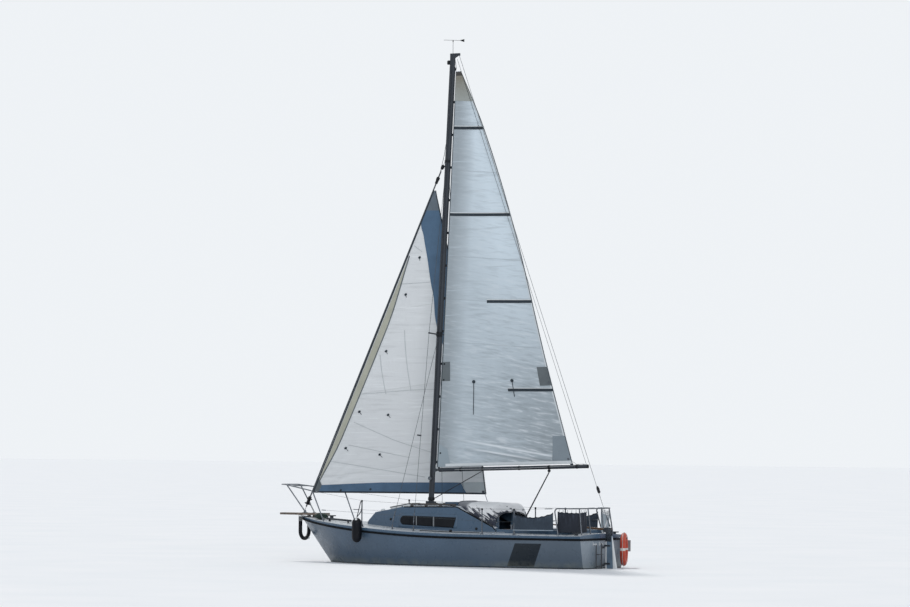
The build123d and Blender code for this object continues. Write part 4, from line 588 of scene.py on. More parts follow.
def tube_part(path, radius, sides):
    # The side directions are carried along without twist.
    rings, side, length = [], None, 0.0
    for i, point in enumerate(path):
        along = (path[min(i + 1, len(path) - 1)] - path[max(i - 1, 0)]).normalized()
        if side is None:
            side = along.orthogonal().normalized()
        side = (side - along * side.dot(along)).normalized()
        length += (point - path[max(i - 1, 0)]).length
        rings.append((point, side, along.cross(side), radius, length))
    return rings_part(rings, sides)


def lines(name, paths, radius, material=ROPE_WHITE, body="boat", sides=6, soft=False):
    paths = [[Vector(q) for q in path] for path in paths]
    parts = [tube_part(smooth_path(path) if soft else path, radius, sides) for path in paths]
    return piece(name, parts, material, body)


def turned(name, specs, material=BLACK, sides=20, body="boat"):
    # Round shapes from a centre, an axis and a profile of (distance along the axis, radius) pairs.
    parts = []
    for centre, axis, profile in specs:
        centre, axis = Vector(centre), Vector(axis).normalized()
        a = axis.orthogonal().normalized()
        parts.append(rings_part([(centre + axis * d, a, axis.cross(a), r, d) for d, r in profile], sides))
    obj = piece(name, parts, material, body)
    obj.data.set_sharp_from_angle(angle=math.radians(40))


def box_part(centre, size, bevel):
    # A box with chamfered upright edges and rounded top and bottom rims.
    cx, cy, cz = centre
    hx, hy, hz = (s / 2 for s in size)
    b = min(bevel, hx * 0.9, hy * 0.9, hz * 0.9)
    verts, uvs = [], []
    for z, inset in ((-hz, b), (-hz + b, 0), (hz - b, 0), (hz, b)):
        x, y = hx - inset, hy - inset
        for px, py in ((x, b - y), (x, y - b), (x - b, y), (b - x, y),
                       (-x, y - b), (-x, b - y), (b - x, -y), (x - b, -y)):
            verts.append(Vector((cx + px, cy + py, cz + z)))
            uvs.append((px + py, z))
    return verts, closed_faces(8, 4), uvs


def boxes(name, specs, material=SHADED_STEEL, body="boat", bevel=0.002):
    piece(name, [box_part(*s, bevel) for s in specs], material, body, False)


def solidify(obj, thickness, offset=0.0):
    modifier = obj.modifiers.new("thickness", "SOLIDIFY")
    modifier.thickness = thickness
    modifier.offset = offset
    modifier.use_rim = True


def tree_of(*names):
    verts, faces = [], []
    for name in names:
        mesh = nodes[name].data
        faces += [tuple(i + len(verts) for i in f.vertices) for f in mesh.polygons]
        verts += [v.co.copy() for v in mesh.vertices]
    return BVHTree.FromPolygons(verts, faces)


DECK_TREE = tree_of("deck", "coachroof", "coaming", "hatch_garage")


DECK_LEVEL = 0.7


def top_z(x, y, above=3.0):
    hit = DECK_TREE.ray_cast(Vector((x, y, above)), Vector((0, 0, -1)))
    return hit[0].z if hit[0] else DECK_LEVEL


def on_top(x, y, lift):
    return Vector((x, y, top_z(x, y) + lift))


def curve_through(table):
    # A smooth monotone curve through (x, y) pairs.
    xs, ys = zip(*table)
    slopes = [(ys[i + 1] - ys[i]) / (xs[i + 1] - xs[i]) for i in range(len(xs) - 1)]
    knots = [slopes[0]]
    for a, b in zip(slopes[:-1], slopes[1:]):
        knots.append(0.0 if a * b <= 0 else 2 * a * b / (a + b))
    knots.append(slopes[-1])

    def value(x):
        i = max(0, min(len(xs) - 2, sum(1 for k in xs[1:-1] if x >= k)))
        h = xs[i + 1] - xs[i]
        t = (x - xs[i]) / h
        return ((2 * t ** 3 - 3 * t * t + 1) * ys[i] + (t ** 3 - 2 * t * t + t) * h * knots[i]
                + (3 * t * t - 2 * t ** 3) * ys[i + 1] + (t ** 3 - t * t) * h * knots[i + 1])
    return value


def flat_at(value):
    return lambda s: value


# Sails

RAKE = math.radians(2.7)
BOOM_TURN, BOOM_LIFT = math.radians(12), math.radians(1.8)
STEP_X, STEP_Z = 0.445, 1.15
GOOSE_Z, GOOSE_BACK = 1.89, 0.0813
HOUNDS_Z, SPREADERS_Z, MASTHEAD_Z = 8.09, 4.6, 10.1


def mast_x(z):
    return STEP_X - (z - STEP_Z) * math.tan(RAKE)


MAST_UP = Vector((-math.sin(RAKE), 0, math.cos(RAKE)))
MAST_AFT = Vector((-math.cos(RAKE), 0, -math.sin(RAKE)))
GOOSE = Vector((mast_x(GOOSE_Z), 0, GOOSE_Z)) + MAST_AFT * GOOSE_BACK
BOOM = Matrix.Rotation(BOOM_TURN, 3, MAST_UP) @ Vector((-math.cos(BOOM_LIFT), 0, math.sin(BOOM_LIFT)))
BOOM_UP = (MAST_UP - BOOM * MAST_UP.dot(BOOM)).normalized()
BOOM_SIDE = BOOM_UP.cross(BOOM)
STEM_FOOT = Vector((3.42, 0, 1.05))
HOUNDS = Vector((mast_x(HOUNDS_Z) + 0.059, 0, HOUNDS_Z))

# Height above the gooseneck, chord, camber share
MAIN_TABLE = [(0.06, 2.83, 0.03), (2.1, 2.18, 0.075), (4.7, 1.41, 0.08), (6.85, 0.63, 0.06),
              (8.0, 0.095, 0.02)]
# Height, leech x, leech y, camber share
GENOA_TABLE = [(1.4, -0.25, -1.02, 0.1), (3.3, -0.07, -0.83, 0.12), (5.4, 0.15, -0.47, 0.11),
               (7.5, 0.425, -0.045, 0.03)]
# Slack creases low in the mainsail: start and end as distance aft and height over the foot, depth, half width
MAIN_CREASES = [(0.2, 0.45, 2.72, 0.05, 0.024, 0.05), (0.67, 0.35, 2.26, 0.11, 0.02, 0.045),
                (0.3, 0.8, 2.3, 0.3, 0.01, 0.07), (0.15, 0.22, 1.5, 0.1, 0.01, 0.05)]


class Sail:
    """A curved surface: u from luff to leech, v from foot to head, both 0 to 1."""

    def height(self, v):
        return self.low + (self.high - self.low) * v

    def normal(self, u, v):
        e = 0.004
        du = self.point(min(1, u + e), v) - self.point(max(0, u - e), v)
        dv = self.point(u, min(1, v + e)) - self.point(u, max(0, v - e))
        return du.cross(dv).normalized()

    def metres(self, u, v):
        return (u * self.chord(v), self.height(v))

    def spot(self, u, v, off):
        return self.point(u, v) + self.normal(u, v) * (self.crease(u, v) + off)

    def surface(self, columns, rows):
        # Rows lie closer together near the foot, where the creases are.
        return sheet_part(columns, rows, lambda s, t: (self.spot(s, t ** 1.4, 0), self.metres(s, t ** 1.4)))

    def panel(self, left, right, low, high, columns=6, rows=10, off=0.008):
        # A layer on both sides of the sail. Its edges are numbers, or functions: u at a v, and v at an s.
        left, right, low, high = (e if callable(e) else flat_at(e) for e in (left, right, low, high))

        def layer(side):
            def at(s, t):
                v = low(s) * (1 - t) + high(s) * t
                u = left(v) * (1 - s) + right(v) * s
                return self.spot(u, v, side * off), self.metres(u, v)
            return sheet_part(columns, rows, at)
        return two_sided(layer)

    def patch(self, corners, columns=10, rows=10):
        # A layer between four corners given as u and v.
        (a, b), (c, d), (e, f), (g, h) = corners
        return self.panel(lambda v: a + (g - a) * (v - b) / max(1e-6, h - b),
                          lambda v: c + (e - c) * (v - d) / max(1e-6, f - d),
                          lambda s: b + (d - b) * s, lambda s: h + (f - h) * s, columns, rows, 0.007)

    def strip(self, path, width, steps=24, off=0.007):
        # A tape of this width in metres along a path of (u, v) points.
        flat = []
        for (a, b), (c, d) in zip(path[:-1], path[1:]):
            flat += [(a + (c - a) * s / steps, b + (d - b) * s / steps) for s in range(steps)]
        flat.append(path[-1])

        def layer(side):
            rows = []
            for i, (u, v) in enumerate(flat):
                p = self.spot(u, v, side * off)
                q = self.point(*flat[min(i + 1, len(flat) - 1)]) - self.point(*flat[max(i - 1, 0)])
                across = self.normal(u, v).cross(q).normalized() * width / 2
                rows.append((p - across, p + across, (0, i * 0.1), (width, i * 0.1)))
            return ribbon_part(rows)
        return two_sided(layer)

    def dot(self, u, v, radius, off=0.012):
        # A round mark of this radius in metres.
        across, up = radius / self.chord(v), radius / (self.high - self.low)
        angles = [k * math.pi / 6 for k in range(12)]
        ring = [(u + across * math.cos(a), v + up * math.sin(a)) for a in angles]
        faces = [(0, 1 + k, 1 + (k + 1) % 12) for k in range(12)]

        def layer(side):
            return [self.spot(*q, side * off) for q in [(u, v), *ring]], faces, [(0, 0), *ring]
        return two_sided(layer)


class Mainsail(Sail):
    low, high = 0.06, 8.0
    luff = 0.0138
    chord_at = staticmethod(curve_through([(h, c) for h, c, k in MAIN_TABLE]))
    camber_at = staticmethod(curve_through([(h, k) for h, c, k in MAIN_TABLE]))

    def chord(self, v):
        return self.chord_at(self.height(v))

    def point(self, u, v):
        h = self.height(v)
        c = self.chord(v)
        depth = self.camber_at(h) * c * 4 * u * (1 - u) * (1 + 0.25 * (0.5 - u))
        return GOOSE + MAST_UP * h + BOOM * (self.luff + u * c) + BOOM_SIDE * depth

    def crease(self, u, v):
        # Folds between tack and clew, small ripples and broad slackness.
        h, x = self.height(v) - self.low, u * self.chord(v)
        edge = min(1, 8 * u) * min(1, 8 * (1 - u)) * min(1, h / 0.12)
        ripple = 0.0
        for x0, h0, x1, h1, depth, half in MAIN_CREASES:
            run, rise = x1 - x0, h1 - h0
            along = ((x - x0) * run + (h - h0) * rise) / (run * run + rise * rise)
            away = ((h - h0) * run - (x - x0) * rise) / math.hypot(run, rise) + 0.03 * math.sin(3 * along)
            if -0.1 < along < 1.1:
                taper = math.sin(math.pi * (along + 0.1) / 1.2) ** 0.6
                ripple += depth * taper * math.exp(-(away / half) ** 2)
        ripple += 0.006 * math.sin(math.atan2(h, max(0.05, x)) * 26) * math.exp(-h / 0.9)
        ripple += 0.01 * noise.noise(Vector((x * 1.3, h * 0.9, 3.0)))
        ripple += 0.004 * noise.noise(Vector((x * 0.9, h * 6.0, 8.0)))
        return ripple * edge


class Genoa(Sail):
    low, high = 1.4, 7.5
    leech_x = staticmethod(curve_through([(z, x) for z, x, y, k in GENOA_TABLE]))
    leech_y = staticmethod(curve_through([(z, y) for z, x, y, k in GENOA_TABLE]))
    camber_at = staticmethod(curve_through([(z, k) for z, x, y, k in GENOA_TABLE]))

    def ends(self, v):
        z = self.height(v)
        share = (z - STEM_FOOT.z) / (HOUNDS.z - STEM_FOOT.z)
        luff = STEM_FOOT.lerp(HOUNDS, share) - Vector((0.013, 0, 0))
        return luff, Vector((self.leech_x(z), self.leech_y(z), z)) - luff

    def chord(self, v):
        return self.ends(v)[1].length

    def point(self, u, v):
        luff, run = self.ends(v)
        out = Vector((-run.y, run.x, 0)).normalized()
        depth = self.camber_at(self.height(v)) * run.length * 4 * u * (1 - u) * (1 + 0.3 * (0.5 - u))
        return luff + run * u + out * depth

    def crease(self, u, v):
        h, x = self.height(v) - self.low, u * self.chord(v)
        edge = min(1, 8 * u) * min(1, 8 * (1 - u)) * min(1, h / 0.2)
        fan = math.sin(math.atan2(h, max(0.05, x)) * 20) * (math.exp(-math.hypot(h, x) / 1.0) * edge)
        return 0.010 * noise.noise(Vector((x * 1.0, h * 0.7, 9.0))) * edge + 0.008 * fan


main = Mainsail()
genoa = Genoa()
main_obj = piece("mainsail_cloth", [main.surface(90, 200)], MAIN_CLOTH, "boom_and_sail")
genoa_obj = piece("genoa_cloth", [genoa.surface(70, 140)], GENOA_CLOTH, "boat")

# Battens: start u, v there, v at the leech
BATTENS = [(0, 0.8572, 0.853), (0, 0.638, 0.6312), (0.461, 0.4148, 0.4098), (0.582, 0.1896, 0.1858)]
# Reef points: u, and u and v at the lower end of the line
REEF_V, REEF_POINTS = 0.213, [(0.281, 0.27, 0.13), (0.63, 0.634, 0.172)]
main_parts = {
    # Battens drawn as dark bands of painted shadow, with a painted highlight along the edge above each
    ("main_batten_shade_bands", DARK_TAPE): [main.strip([(u, v), (0.998, w)], 0.056, 40, 0.008) for u, v, w in BATTENS],
    ("main_batten_highlights", PALE_TAPE): [main.strip([(u, v + 0.0048), (0.99, w + 0.0048)], 0.016, 40)
                                       for u, v, w in BATTENS],
    ("main_dark_edges", DARK_TAPE): [main.strip([(u, 0), (u, 1)], width, 120, 0.008)
                                     for u, width in ((0.004, 0.014), (0.998, 0.012))],
    ("main_leech_tape", PALE_TAPE): [main.strip([(0.99, 0), (0.99, 0.6), (0.975, 0.93)], 0.034, 50, 0.006)],
    # Painted highlight: a pale strip along the foot where light falls on the sail
    ("main_foot_highlight", PALE_TAPE): [main.strip([(0.06, 0.0042), (0.99, 0.0042)], 0.056, 80, 0.01)],
    ("main_tack_patch", TACK_CLOTH): [main.patch([(0, 0), (0.1, 0), (0.07, 0.045), (0, 0.06)])],
    ("main_clew_patch", PATCH_CLOTH): [
        main.patch([(0.855, 0.008), (0.997, 0.008), (0.997, 0.0705), (0.896, 0.0705)], 10, 20)],
    ("main_reef_patches", DULL_PATCH): [
        main.patch([(0, 0.2166), (0.075, 0.2166), (0.07, 0.2654), (0, 0.2654)]),
        main.patch([(0.885, 0.1975), (0.998, 0.1975), (0.998, 0.2445), (0.893, 0.245)])],
    ("main_reef_points", DARK_TAPE): (
        [main.strip([(u, REEF_V), low], 0.014, 24, 0.01) for u, *low in REEF_POINTS]
        + [main.dot(u, REEF_V, 0.035, 0.01) for u, *low in REEF_POINTS]),
    ("main_head", HEAD_CLOTH): [main.panel(0, 0.998, lambda s: 0.9262 - 0.004 * s, 0.9985, 8, 24)],
    ("main_cunningham", BLACK): [main.dot(0.02, v, 0.018) for v in (0.035, 0.22, 0.26)],
    ("main_clew_rings", SHADED_STEEL): [main.dot(0.978, v, 0.024) for v in (0.012, 0.205)],
}
main_trims = [piece(name, parts, material, "boom_and_sail")
              for (name, material), parts in main_parts.items()]

# The leech strip's inner edge: v, u
STRIP_EDGE = curve_through([(0.12, 0.87), (0.4, 0.826), (0.586, 0.652), (0.648, 0.63), (0.691, 0.583),
                            (0.776, 0.474), (0.851, 0.267), (0.9, 0.01), (0.98, 0)])
# The luff pad's start behind the luff, and its width by v
PAD_START = 0.03
PAD_WIDTH = curve_through([(0.03, 0.004), (0.18, 0.105), (0.54, 0.125), (0.787, 0.004)])
TELL_TALES = [(0.284, 0.7813), (0.195, 0.6597), (0.157, 0.4727), (0.098, 0.2711), (0.31, 0.2613),
              (0.091, 0.1495), (0.314, 0.129)]
GENOA_SEAMS = [
    [(0.066, 0.3296), (0.456, 0.3442), (0.82, 0.35)], [(0.084, 0.2363), (0.388, 0.1774), (0.7, 0.13)],
    [(0.103, 0.1596), (0.512, 0.1192)], [(0.022, 0.1057), (0.62, 0.055)], [(0.112, 0.4593), (0.258, 0.3304)],
    [(0.294, 0.5426), (0.457, 0.3409)], [(0.051, 0.6935), (0.556, 0.7008)], [(0.06, 0.82), (0.32, 0.8)],
]


def pad_end(v):
    return (PAD_START + PAD_WIDTH(v)) / genoa.chord(v)


genoa_parts = {
    ("genoa_foot_strip", BLUE_STRIP): [
        genoa.patch([(0.03, 0.002), (0.362, 0.002), (0.362, 0.0355), (0.033, 0.0255)], 24, 8),
        genoa.patch([(0.362, 0.002), (0.88, 0.002), (0.846, 0.0384), (0.362, 0.0355)], 36, 8)],
    ("genoa_leech_strip", BLUE_STRIP): [genoa.panel(STRIP_EDGE, 0.997, 0.12, 0.935, 8, 100)],
    ("genoa_head_strip", HEAD_STRIP): [genoa.panel(0, 0.997, 0.935, 0.998, 6, 12)],
    ("genoa_clew_patch", CLEW_CLOTH): [
        genoa.patch([(0.882, 0.002), (0.997, 0.002), (0.997, 0.04), (0.848, 0.039)], 10, 8)],
    ("genoa_tack_patch", DULL_PATCH): [genoa.patch([(0, 0), (0.03, 0), (0.033, 0.0255), (0, 0.05)], 6, 8)],
    ("genoa_luff_pad", BEIGE_CLOTH): [
        genoa.panel(lambda v: PAD_START / genoa.chord(v), pad_end, 0.031, 0.786, 6, 90)],
    ("genoa_pad_edge", DULL_PATCH): [
        genoa.strip([(pad_end(v), v) for v in [0.032 + 0.0377 * k for k in range(21)]], 0.022, 3, 0.01)],
    ("genoa_seams", SEAM_TAPE): [genoa.strip(path, 0.014, 30) for path in GENOA_SEAMS],
    ("genoa_edge_tapes", DARK_TAPE): [
        genoa.strip([(0.004, 0), (0.004, 1)], 0.022, 90, 0.009),
        genoa.strip([(0, 0.0024), (0.997, 0.0024)], 0.034, 60, 0.01),
        genoa.strip([(0.9975, 0), (0.9975, 1)], 0.02, 90, 0.01)],
    ("genoa_tell_tales", DARK_TAPE): (
        [genoa.dot(u, v, 0.026) for u, v in TELL_TALES]
        + [genoa.strip([(u, v), (u + 0.022, v - 0.01)], 0.01, 6, 0.012) for u, v in TELL_TALES]
        + [genoa.strip([(0.545, 0.195), (0.575, 0.193)], 0.026, 6, 0.012)]
        + [genoa.dot(u, v, 0.022) for u, v in ((0.144, 0.0085), (0.307, 0.0125))]),
    ("genoa_clew_ring", SHADED_STEEL): [genoa.dot(0.985, 0.008, 0.03, 0.013)],
}
genoa_trims = [piece(name, parts, material, "boat")
               for (name, material), parts in genoa_parts.items()]


for obj, node in ((main_obj, "mainsail"), (genoa_obj, "genoa")):
    solidify(obj, 0.003)
    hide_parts(node)


# Cloths on the rails

CLOTH_ROWS = 26


def hung_cloth(name, run, low, high, material, slot, columns, sag, folds, gathers, seed):
    # A laced panel: run(s) gives the plan point and high(s) the top hem's height.
    path = [run(i / (columns - 1)) for i in range(columns)]
    length = [0.0]
    for a, b in zip(path[:-1], path[1:]):
        length.append(length[-1] + (b - a).length)

    def at(s, t):
        i = round(s * (columns - 1))
        a, b = path[max(i - 1, 0)], path[min(i + 1, columns - 1)]
        out = Vector((b.y - a.y, a.x - b.x, 0)).normalized()
        z = low + (high(s) - sag * 4 * s * (1 - s) - low) * t
        pull = abs(math.sin(math.pi * gathers * s))
        depth = folds * (0.9 * math.sin(gathers * 2 * math.pi * s + seed) * t ** 2
                         + 0.8 * noise.noise(Vector((s * 7, t * 2.2, seed))))
        for d in (s, 1 - s):
            fan = math.sin(math.atan2(t + 0.05, d + 0.02) * 24)
            depth += 0.008 * fan * math.exp(-3.5 * math.hypot(d, 1 - t))
        return Vector((path[i].x, path[i].y, z - 0.012 * pull * t)) + out * depth, (length[i], z)
    return piece(name, [sheet_part(columns, CLOTH_ROWS, at)], material, "boat")


def hem_of(obj, columns, name, width, material, top=True):
    # A doubled hem along the top or bottom edge.
    verts = [v.co.copy() for v in obj.data.vertices]
    start, inner = (len(verts) - columns, -columns) if top else (0, columns)

    def layer(side):
        rows = []
        for i in range(columns):
            edge, inside = verts[start + i], verts[start + i + inner]
            a, b = verts[start + max(i - 1, 0)], verts[start + min(i + 1, columns - 1)]
            n = (b - a).cross(edge - inside).normalized() * side * 0.004
            rows.append((edge + n, edge + (inside - edge).normalized() * width + n, (i * 0.02, 0),
                         (i * 0.02, width)))
        return ribbon_part(rows)
    return piece(name, [two_sided(layer)], material, "boat")


for side, word in ((1, "port"), (-1, "starboard")):
    a, b = Vector((-2.03, side * 1.0668, 0)), Vector((-2.85, side * 0.925, 0))
    cloth = hung_cloth(f"weather_cloth_{word}", lambda s: a.lerp(b, s), 0.735, lambda s: 1.075 + 0.02 * s,
                       BLUE_CANVAS, "blue_canvas", 80, 0.085, 0.012, 7, 1.0 + side)
    hems = [hem_of(cloth, 80, f"weather_top_hem_{word}", 0.022, HEM_CANVAS),
            hem_of(cloth, 80, f"weather_low_hem_{word}", 0.016, PALE_HEM, False)]
    solidify(cloth, 0.0025)
    if side == 1:
        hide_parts("weather_cloths")

CORNER, RAIL_HALF, RAIL_AFT, STERN_END = 0.2872, 0.8472, -3.2572, 0.3


def corner_run(side, front):
    # Along the rail's inner side, round its corner and along the stern.
    straight = front - (RAIL_AFT + CORNER)
    arc = CORNER * math.pi / 2
    total = straight + arc + (RAIL_HALF - CORNER - STERN_END)

    def run(s):
        d = s * total
        if d < straight:
            return Vector((front - d, side * RAIL_HALF, 0))
        if d < straight + arc:
            t = (d - straight) / CORNER
            return Vector((RAIL_AFT + CORNER - CORNER * math.sin(t),
                           side * (RAIL_HALF - CORNER + CORNER * math.cos(t)), 0))
        return Vector((RAIL_AFT, side * (RAIL_HALF - CORNER - (d - straight - arc)), 0))
    return run, total


def lacing(obj, columns, turns, rise):
    # Cord loops from eyelets in the top hem up to the rail or wire over it.
    loops = []
    start = len(obj.data.vertices) - columns
    for k in range(turns):
        low = obj.data.vertices[start + int((k + 0.5) * (columns - 1) / turns)].co.copy()
        loops.append([low + Vector((x, 0, z)) for x, z in ((0, -0.015), (0.006, rise * 0.5), (0, rise),
                                                           (-0.006, rise * 0.5), (0, -0.012))])
    return loops


def fold_highlight_band(cloth, columns):
    # A painted highlight along a fold: the band crosses the light cloth from its top corner down to the gate.
    def layer(side):
        rows = []
        for k in range(31):
            i = round((0.56 + 0.3 * k / 30) * (columns - 1))
            j = round((0.97 - 0.92 * k / 30) * (CLOTH_ROWS - 1))
            centre = cloth.data.vertices[j * columns + i].co
            out = (centre - Vector((-2.97, -0.56, centre.z))).normalized() * side * 0.007
            across = Vector((0, 0, 0.045 * (1 - 0.4 * k / 30)))
            rows.append((centre + out + across, centre + out - across, (0, k * 0.02), (0.09, k * 0.02)))
        return ribbon_part(rows)
    return piece("stern_cloth_fold_highlight", [two_sided(layer)], WHITE_CANVAS, "boat")


# Side, word, node, front end, paint, sag with folds, gathers and seed, hem and its paint, rise of the lacing,
# share of the flat size
STERN_CLOTHS = [
    (1, "dark", "port", -2.9, DARK_CANVAS, (0.02, 0.008, 8, 4.0), 0.03, HEM_CANVAS, 0.052, 0.97),
    (-1, "light", "starboard", -2.96, LIGHT_CANVAS, (0.05, 0.012, 5, 8.0), 0.026, WHITE_CANVAS, 0.055, 0.93),
]
cloth_loops = []
for side, word, node, front, paint, shape, hem, hem_paint, rise, share in STERN_CLOTHS:
    run, total = corner_run(side, front)
    slot = f"{word}_canvas"
    cloth = hung_cloth(f"stern_cloth_{word}", run, 0.705, flat_at(1.115), paint, slot, 90, *shape)
    trims = [hem_of(cloth, 90, f"stern_hem_{word}", hem, hem_paint)]
    cloth_loops += lacing(cloth, 90, 9, rise)
    if word == "light":
        trims.append(fold_highlight_band(cloth, 90))
    solidify(cloth, 0.0025)
    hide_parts(f"stern_cloth_{node}")
    total * 0.41 * share
lines("cloth_lacing", cloth_loops, 0.0028, sides=5, soft=True)


# Sprayhood

# x, half width, base height, top height, sharpness of the shoulders
HOOD_TABLE = [(-1.43, 0.686, 0.772, 1.062, 2.6), (-1.31, 0.684, 0.8, 1.246, 5),
              (-1.06, 0.672, 0.9, 1.247, 5.5), (-0.82, 0.64, 1.01, 1.254, 5),
              (-0.62, 0.54, 1.1, 1.266, 4.6), (-0.43, 0.42, 1.19, 1.27, 4)]
HOOD_AFT, HOOD_TOP, OVER_GARAGE = -1.43, 1.27, 1.2415
hood_curves = [curve_through([(row[0], row[k]) for row in HOOD_TABLE]) for k in range(1, 5)]


def hood_point(s, t):
    # s from aft to front, t from the port hem over the top to the starboard hem
    x = HOOD_AFT + s
    half, base, top, power = (c(x) for c in hood_curves)
    cos_a, sin_a = math.cos(math.pi * t), max(0.0, math.sin(math.pi * t))
    y = half * math.copysign(abs(cos_a) ** (2 / power), cos_a)
    return Vector((x, y, base + (top - base) * sin_a ** (2 / power)))


def hood_cloth(t, s):
    p = hood_point(s, t)
    edge = min(1, 10 * t) * min(1, 10 * (1 - t))
    low = min(1.0, max(0.0, (HOOD_TOP - p.z) / 0.3))
    wave = noise.noise(Vector((p.x * 3, p.y * 2.5, 1.0)))
    pleat = abs(math.sin(11 * s + 30 * (HOOD_TOP - p.z) + 5 * wave))
    fold = (0.004 + 0.016 * low) * pleat * math.sin(math.pi * s) * edge
    fold += 0.008 * abs(noise.noise(Vector((p.x * 7, p.y * 4, p.z * 8)))) * edge
    p += Vector((0, p.y * 1.6, 0.35 if abs(p.y) > 0.4 else 1.0)).normalized() * fold
    if abs(p.y) < 0.37 and s > 0.1:
        p.z = max(p.z, OVER_GARAGE)
    if t in (0, 1):
        p.z = max(p.z, top_z(p.x, p.y, p.z + 0.4) + 0.004)
    return p, (s * 1.05, t * 1.9)


hood = piece("sprayhood_cloth", [sheet_part(110, 76, hood_cloth)], HOOD_CANVAS, "boat")
solidify(hood, 0.002, 1.0)
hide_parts("sprayhood")
for s, word in ((0.004, "aft"), (0.996, "front")):
    path = [hood_point(s, 0.02 + 0.96 * k / 40) + Vector((0, 0, 0.008)) for k in range(41)]
    lines(f"sprayhood_hem_{word}", [path], 0.008, HEM_CANVAS, "boat", 8)


# Wires and running lines

UP = (0, 0, 1)


def boom_at(u, side=0.0, drop=0.0):
    return GOOSE + BOOM * u + BOOM_SIDE * side - BOOM_UP * drop


def mast_side(z, y, back=0.0):
    return Vector((mast_x(z) - back, y, z))


def drum(ends, middle, bevel, length):
    return [(0, ends), (bevel, middle), (length - bevel, middle), (length, ends)]


rail_runs = []
for side in (1, -1):
    for run in ([(2.84, 0.615, 1.435), (1.5, 0.925, 1.265), (-1.35, 1.085, 1.145), (-2.05, 1.05, 1.145),
                 (-2.83, 0.872, 1.165)],
                [(2.66, 0.605, 1.06), (1.5, 0.925, 1.02), (-1.35, 1.085, 0.9), (-2.05, 1.05, 0.9),
                 (-2.9, 0.89, 0.93)]):
        rail_runs.append([Vector((x, side * y, z)) for x, y, z in run])
lines("lifelines", rail_runs, 0.0022, RIG)
lines("lifeline_screws", [[run[0].lerp(run[1], k / 14) for k in (0.3, 1.6)] for run in rail_runs]
      + [[run[-1].lerp(run[-2], k / 8) for k in (0.3, 1.8)] for run in rail_runs], 0.008, SHADED_STEEL, sides=10)
lines("halyards", [
    [mast_side(1.75, 0.058), mast_side(SPREADERS_Z, 0.05), mast_side(9.9, 0.04, 0.01)],
    [mast_side(1.95, -0.058), mast_side(SPREADERS_Z, -0.05), mast_side(8.1, -0.046)],
    [mast_side(1.6, -0.056, 0.02), mast_side(MASTHEAD_Z, -0.04, 0.02)],
    [mast_side(10.13, 0.012, 0.06), (mast_x(9.95) - 0.1, 0.006, 9.93)],
], 0.005, ROPE_DARK)
turned("mast_collars", [
    ((mast_x(HOUNDS_Z), 0, 8.05), MAST_UP, drum(0.06, 0.064, 0, 0.05)),
    ((mast_x(SPREADERS_Z), 0, 4.56), MAST_UP, drum(0.0605, 0.066, 0, 0.09)),
    ((mast_x(1.31), 0, 1.285), MAST_UP, [(0, 0.061), (0, 0.068), (0.03, 0.068), (0.06, 0.061)]),
], sides=32)
turned("masthead_light", [(mast_side(10.02, 0, -0.085), UP,
                           [(0, 0.022), (0.01, 0.034), (0.07, 0.034), (0.085, 0.02)])])
boxes("masthead_light_bracket", [((mast_x(10.03) + 0.052, 0, 10.035), (0.04, 0.03, 0.012))])
lines("jib_halyard", [[mast_side(8.42, 0, -0.062), mast_side(8.2, 0.004, -0.085),
                       HOUNDS.lerp(STEM_FOOT, 0.03) + Vector((0.014, 0, 0))]], 0.005, ROPE_DARK)
turned("halyard_swivels", [(HOUNDS.lerp(STEM_FOOT, share), STEM_FOOT - HOUNDS,
                            [(0, 0.014), (0.01, 0.034), (0.05, 0.036), (0.085, 0.03), (0.1, 0.014)])
                           for share in (0.012, 0.046)])


def falls(name, paths, radius, material, low, high):
    # Lines that run from the boat at low to the swinging boom at high.
    obj = lines(name, paths, radius, material, None)
    tuple(low)
    tuple(high)
    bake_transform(obj)


low, high = Vector((-1.48, 0, 0.505)), boom_at(2.36, 0, 0.05)
falls("mainsheet_falls", [[low + Vector((0, y, 0.045)), high + Vector((0, y * 0.6, -0.05))]
                          for y in (-0.018, 0, 0.018)], 0.0075, ROPE_DARK, low, high)
turned("mainsheet_low_block", [((low.x, -0.028, 0.53), (0, 1, 0), drum(0.02, 0.032, 0.006, 0.056))])
turned("mainsheet_high_block", [(high + BOOM_SIDE * -0.025 - BOOM_UP * 0.02, BOOM_SIDE,
                                 drum(0.018, 0.028, 0.006, 0.05))], body="boom_and_sail")
low, high = mast_side(1.32, 0, 0.075), boom_at(0.95, 0, 0.05)
falls("vang_falls", [[end + Vector((0, y, 0)) for end in (low, high)] for y in (-0.012, 0.012)],
      0.006, ROPE_DARK, low, high)
low, high = Vector((mast_x(MASTHEAD_Z) - 0.115, 0.01, 10.12)), boom_at(3.13, 0, -0.045)
falls("topping_lift", [[low, high]], 0.0035, RIG, low, high)
lines("reef_lines", [
    [boom_at(3.05, 0.032, -0.02), boom_at(2, 0.04, 0.006), boom_at(0.35, 0.04)],
    [boom_at(2.9, -0.032, -0.02), boom_at(1.8, -0.04, 0.004), boom_at(0.4, -0.04)],
    [boom_at(2.8, 0.026, -0.05), boom_at(2.86, 0.01, -0.03), boom_at(2.98, 0, -0.04)],
], 0.0045, ROPE_WHITE, "boom_and_sail", soft=True)
turned("boom_fittings", [(boom_at(3.158), BOOM, [(0, 0.04), (0.012, 0.04), (0.02, 0.03)])]
       + [(boom_at(u), BOOM, drum(0.0385, 0.043, 0, width))
          for u, width in ((0.5, 0.035), (0.95, 0.045), (1.72, 0.035), (2.34, 0.045), (2.92, 0.03))],
       sides=28, body="boom_and_sail")
boxes("boom_sheaves", [(boom_at(3.1, side, -0.028), (0.07, 0.01, 0.028)) for side in (-0.014, 0.014)],
      body="boom_and_sail")
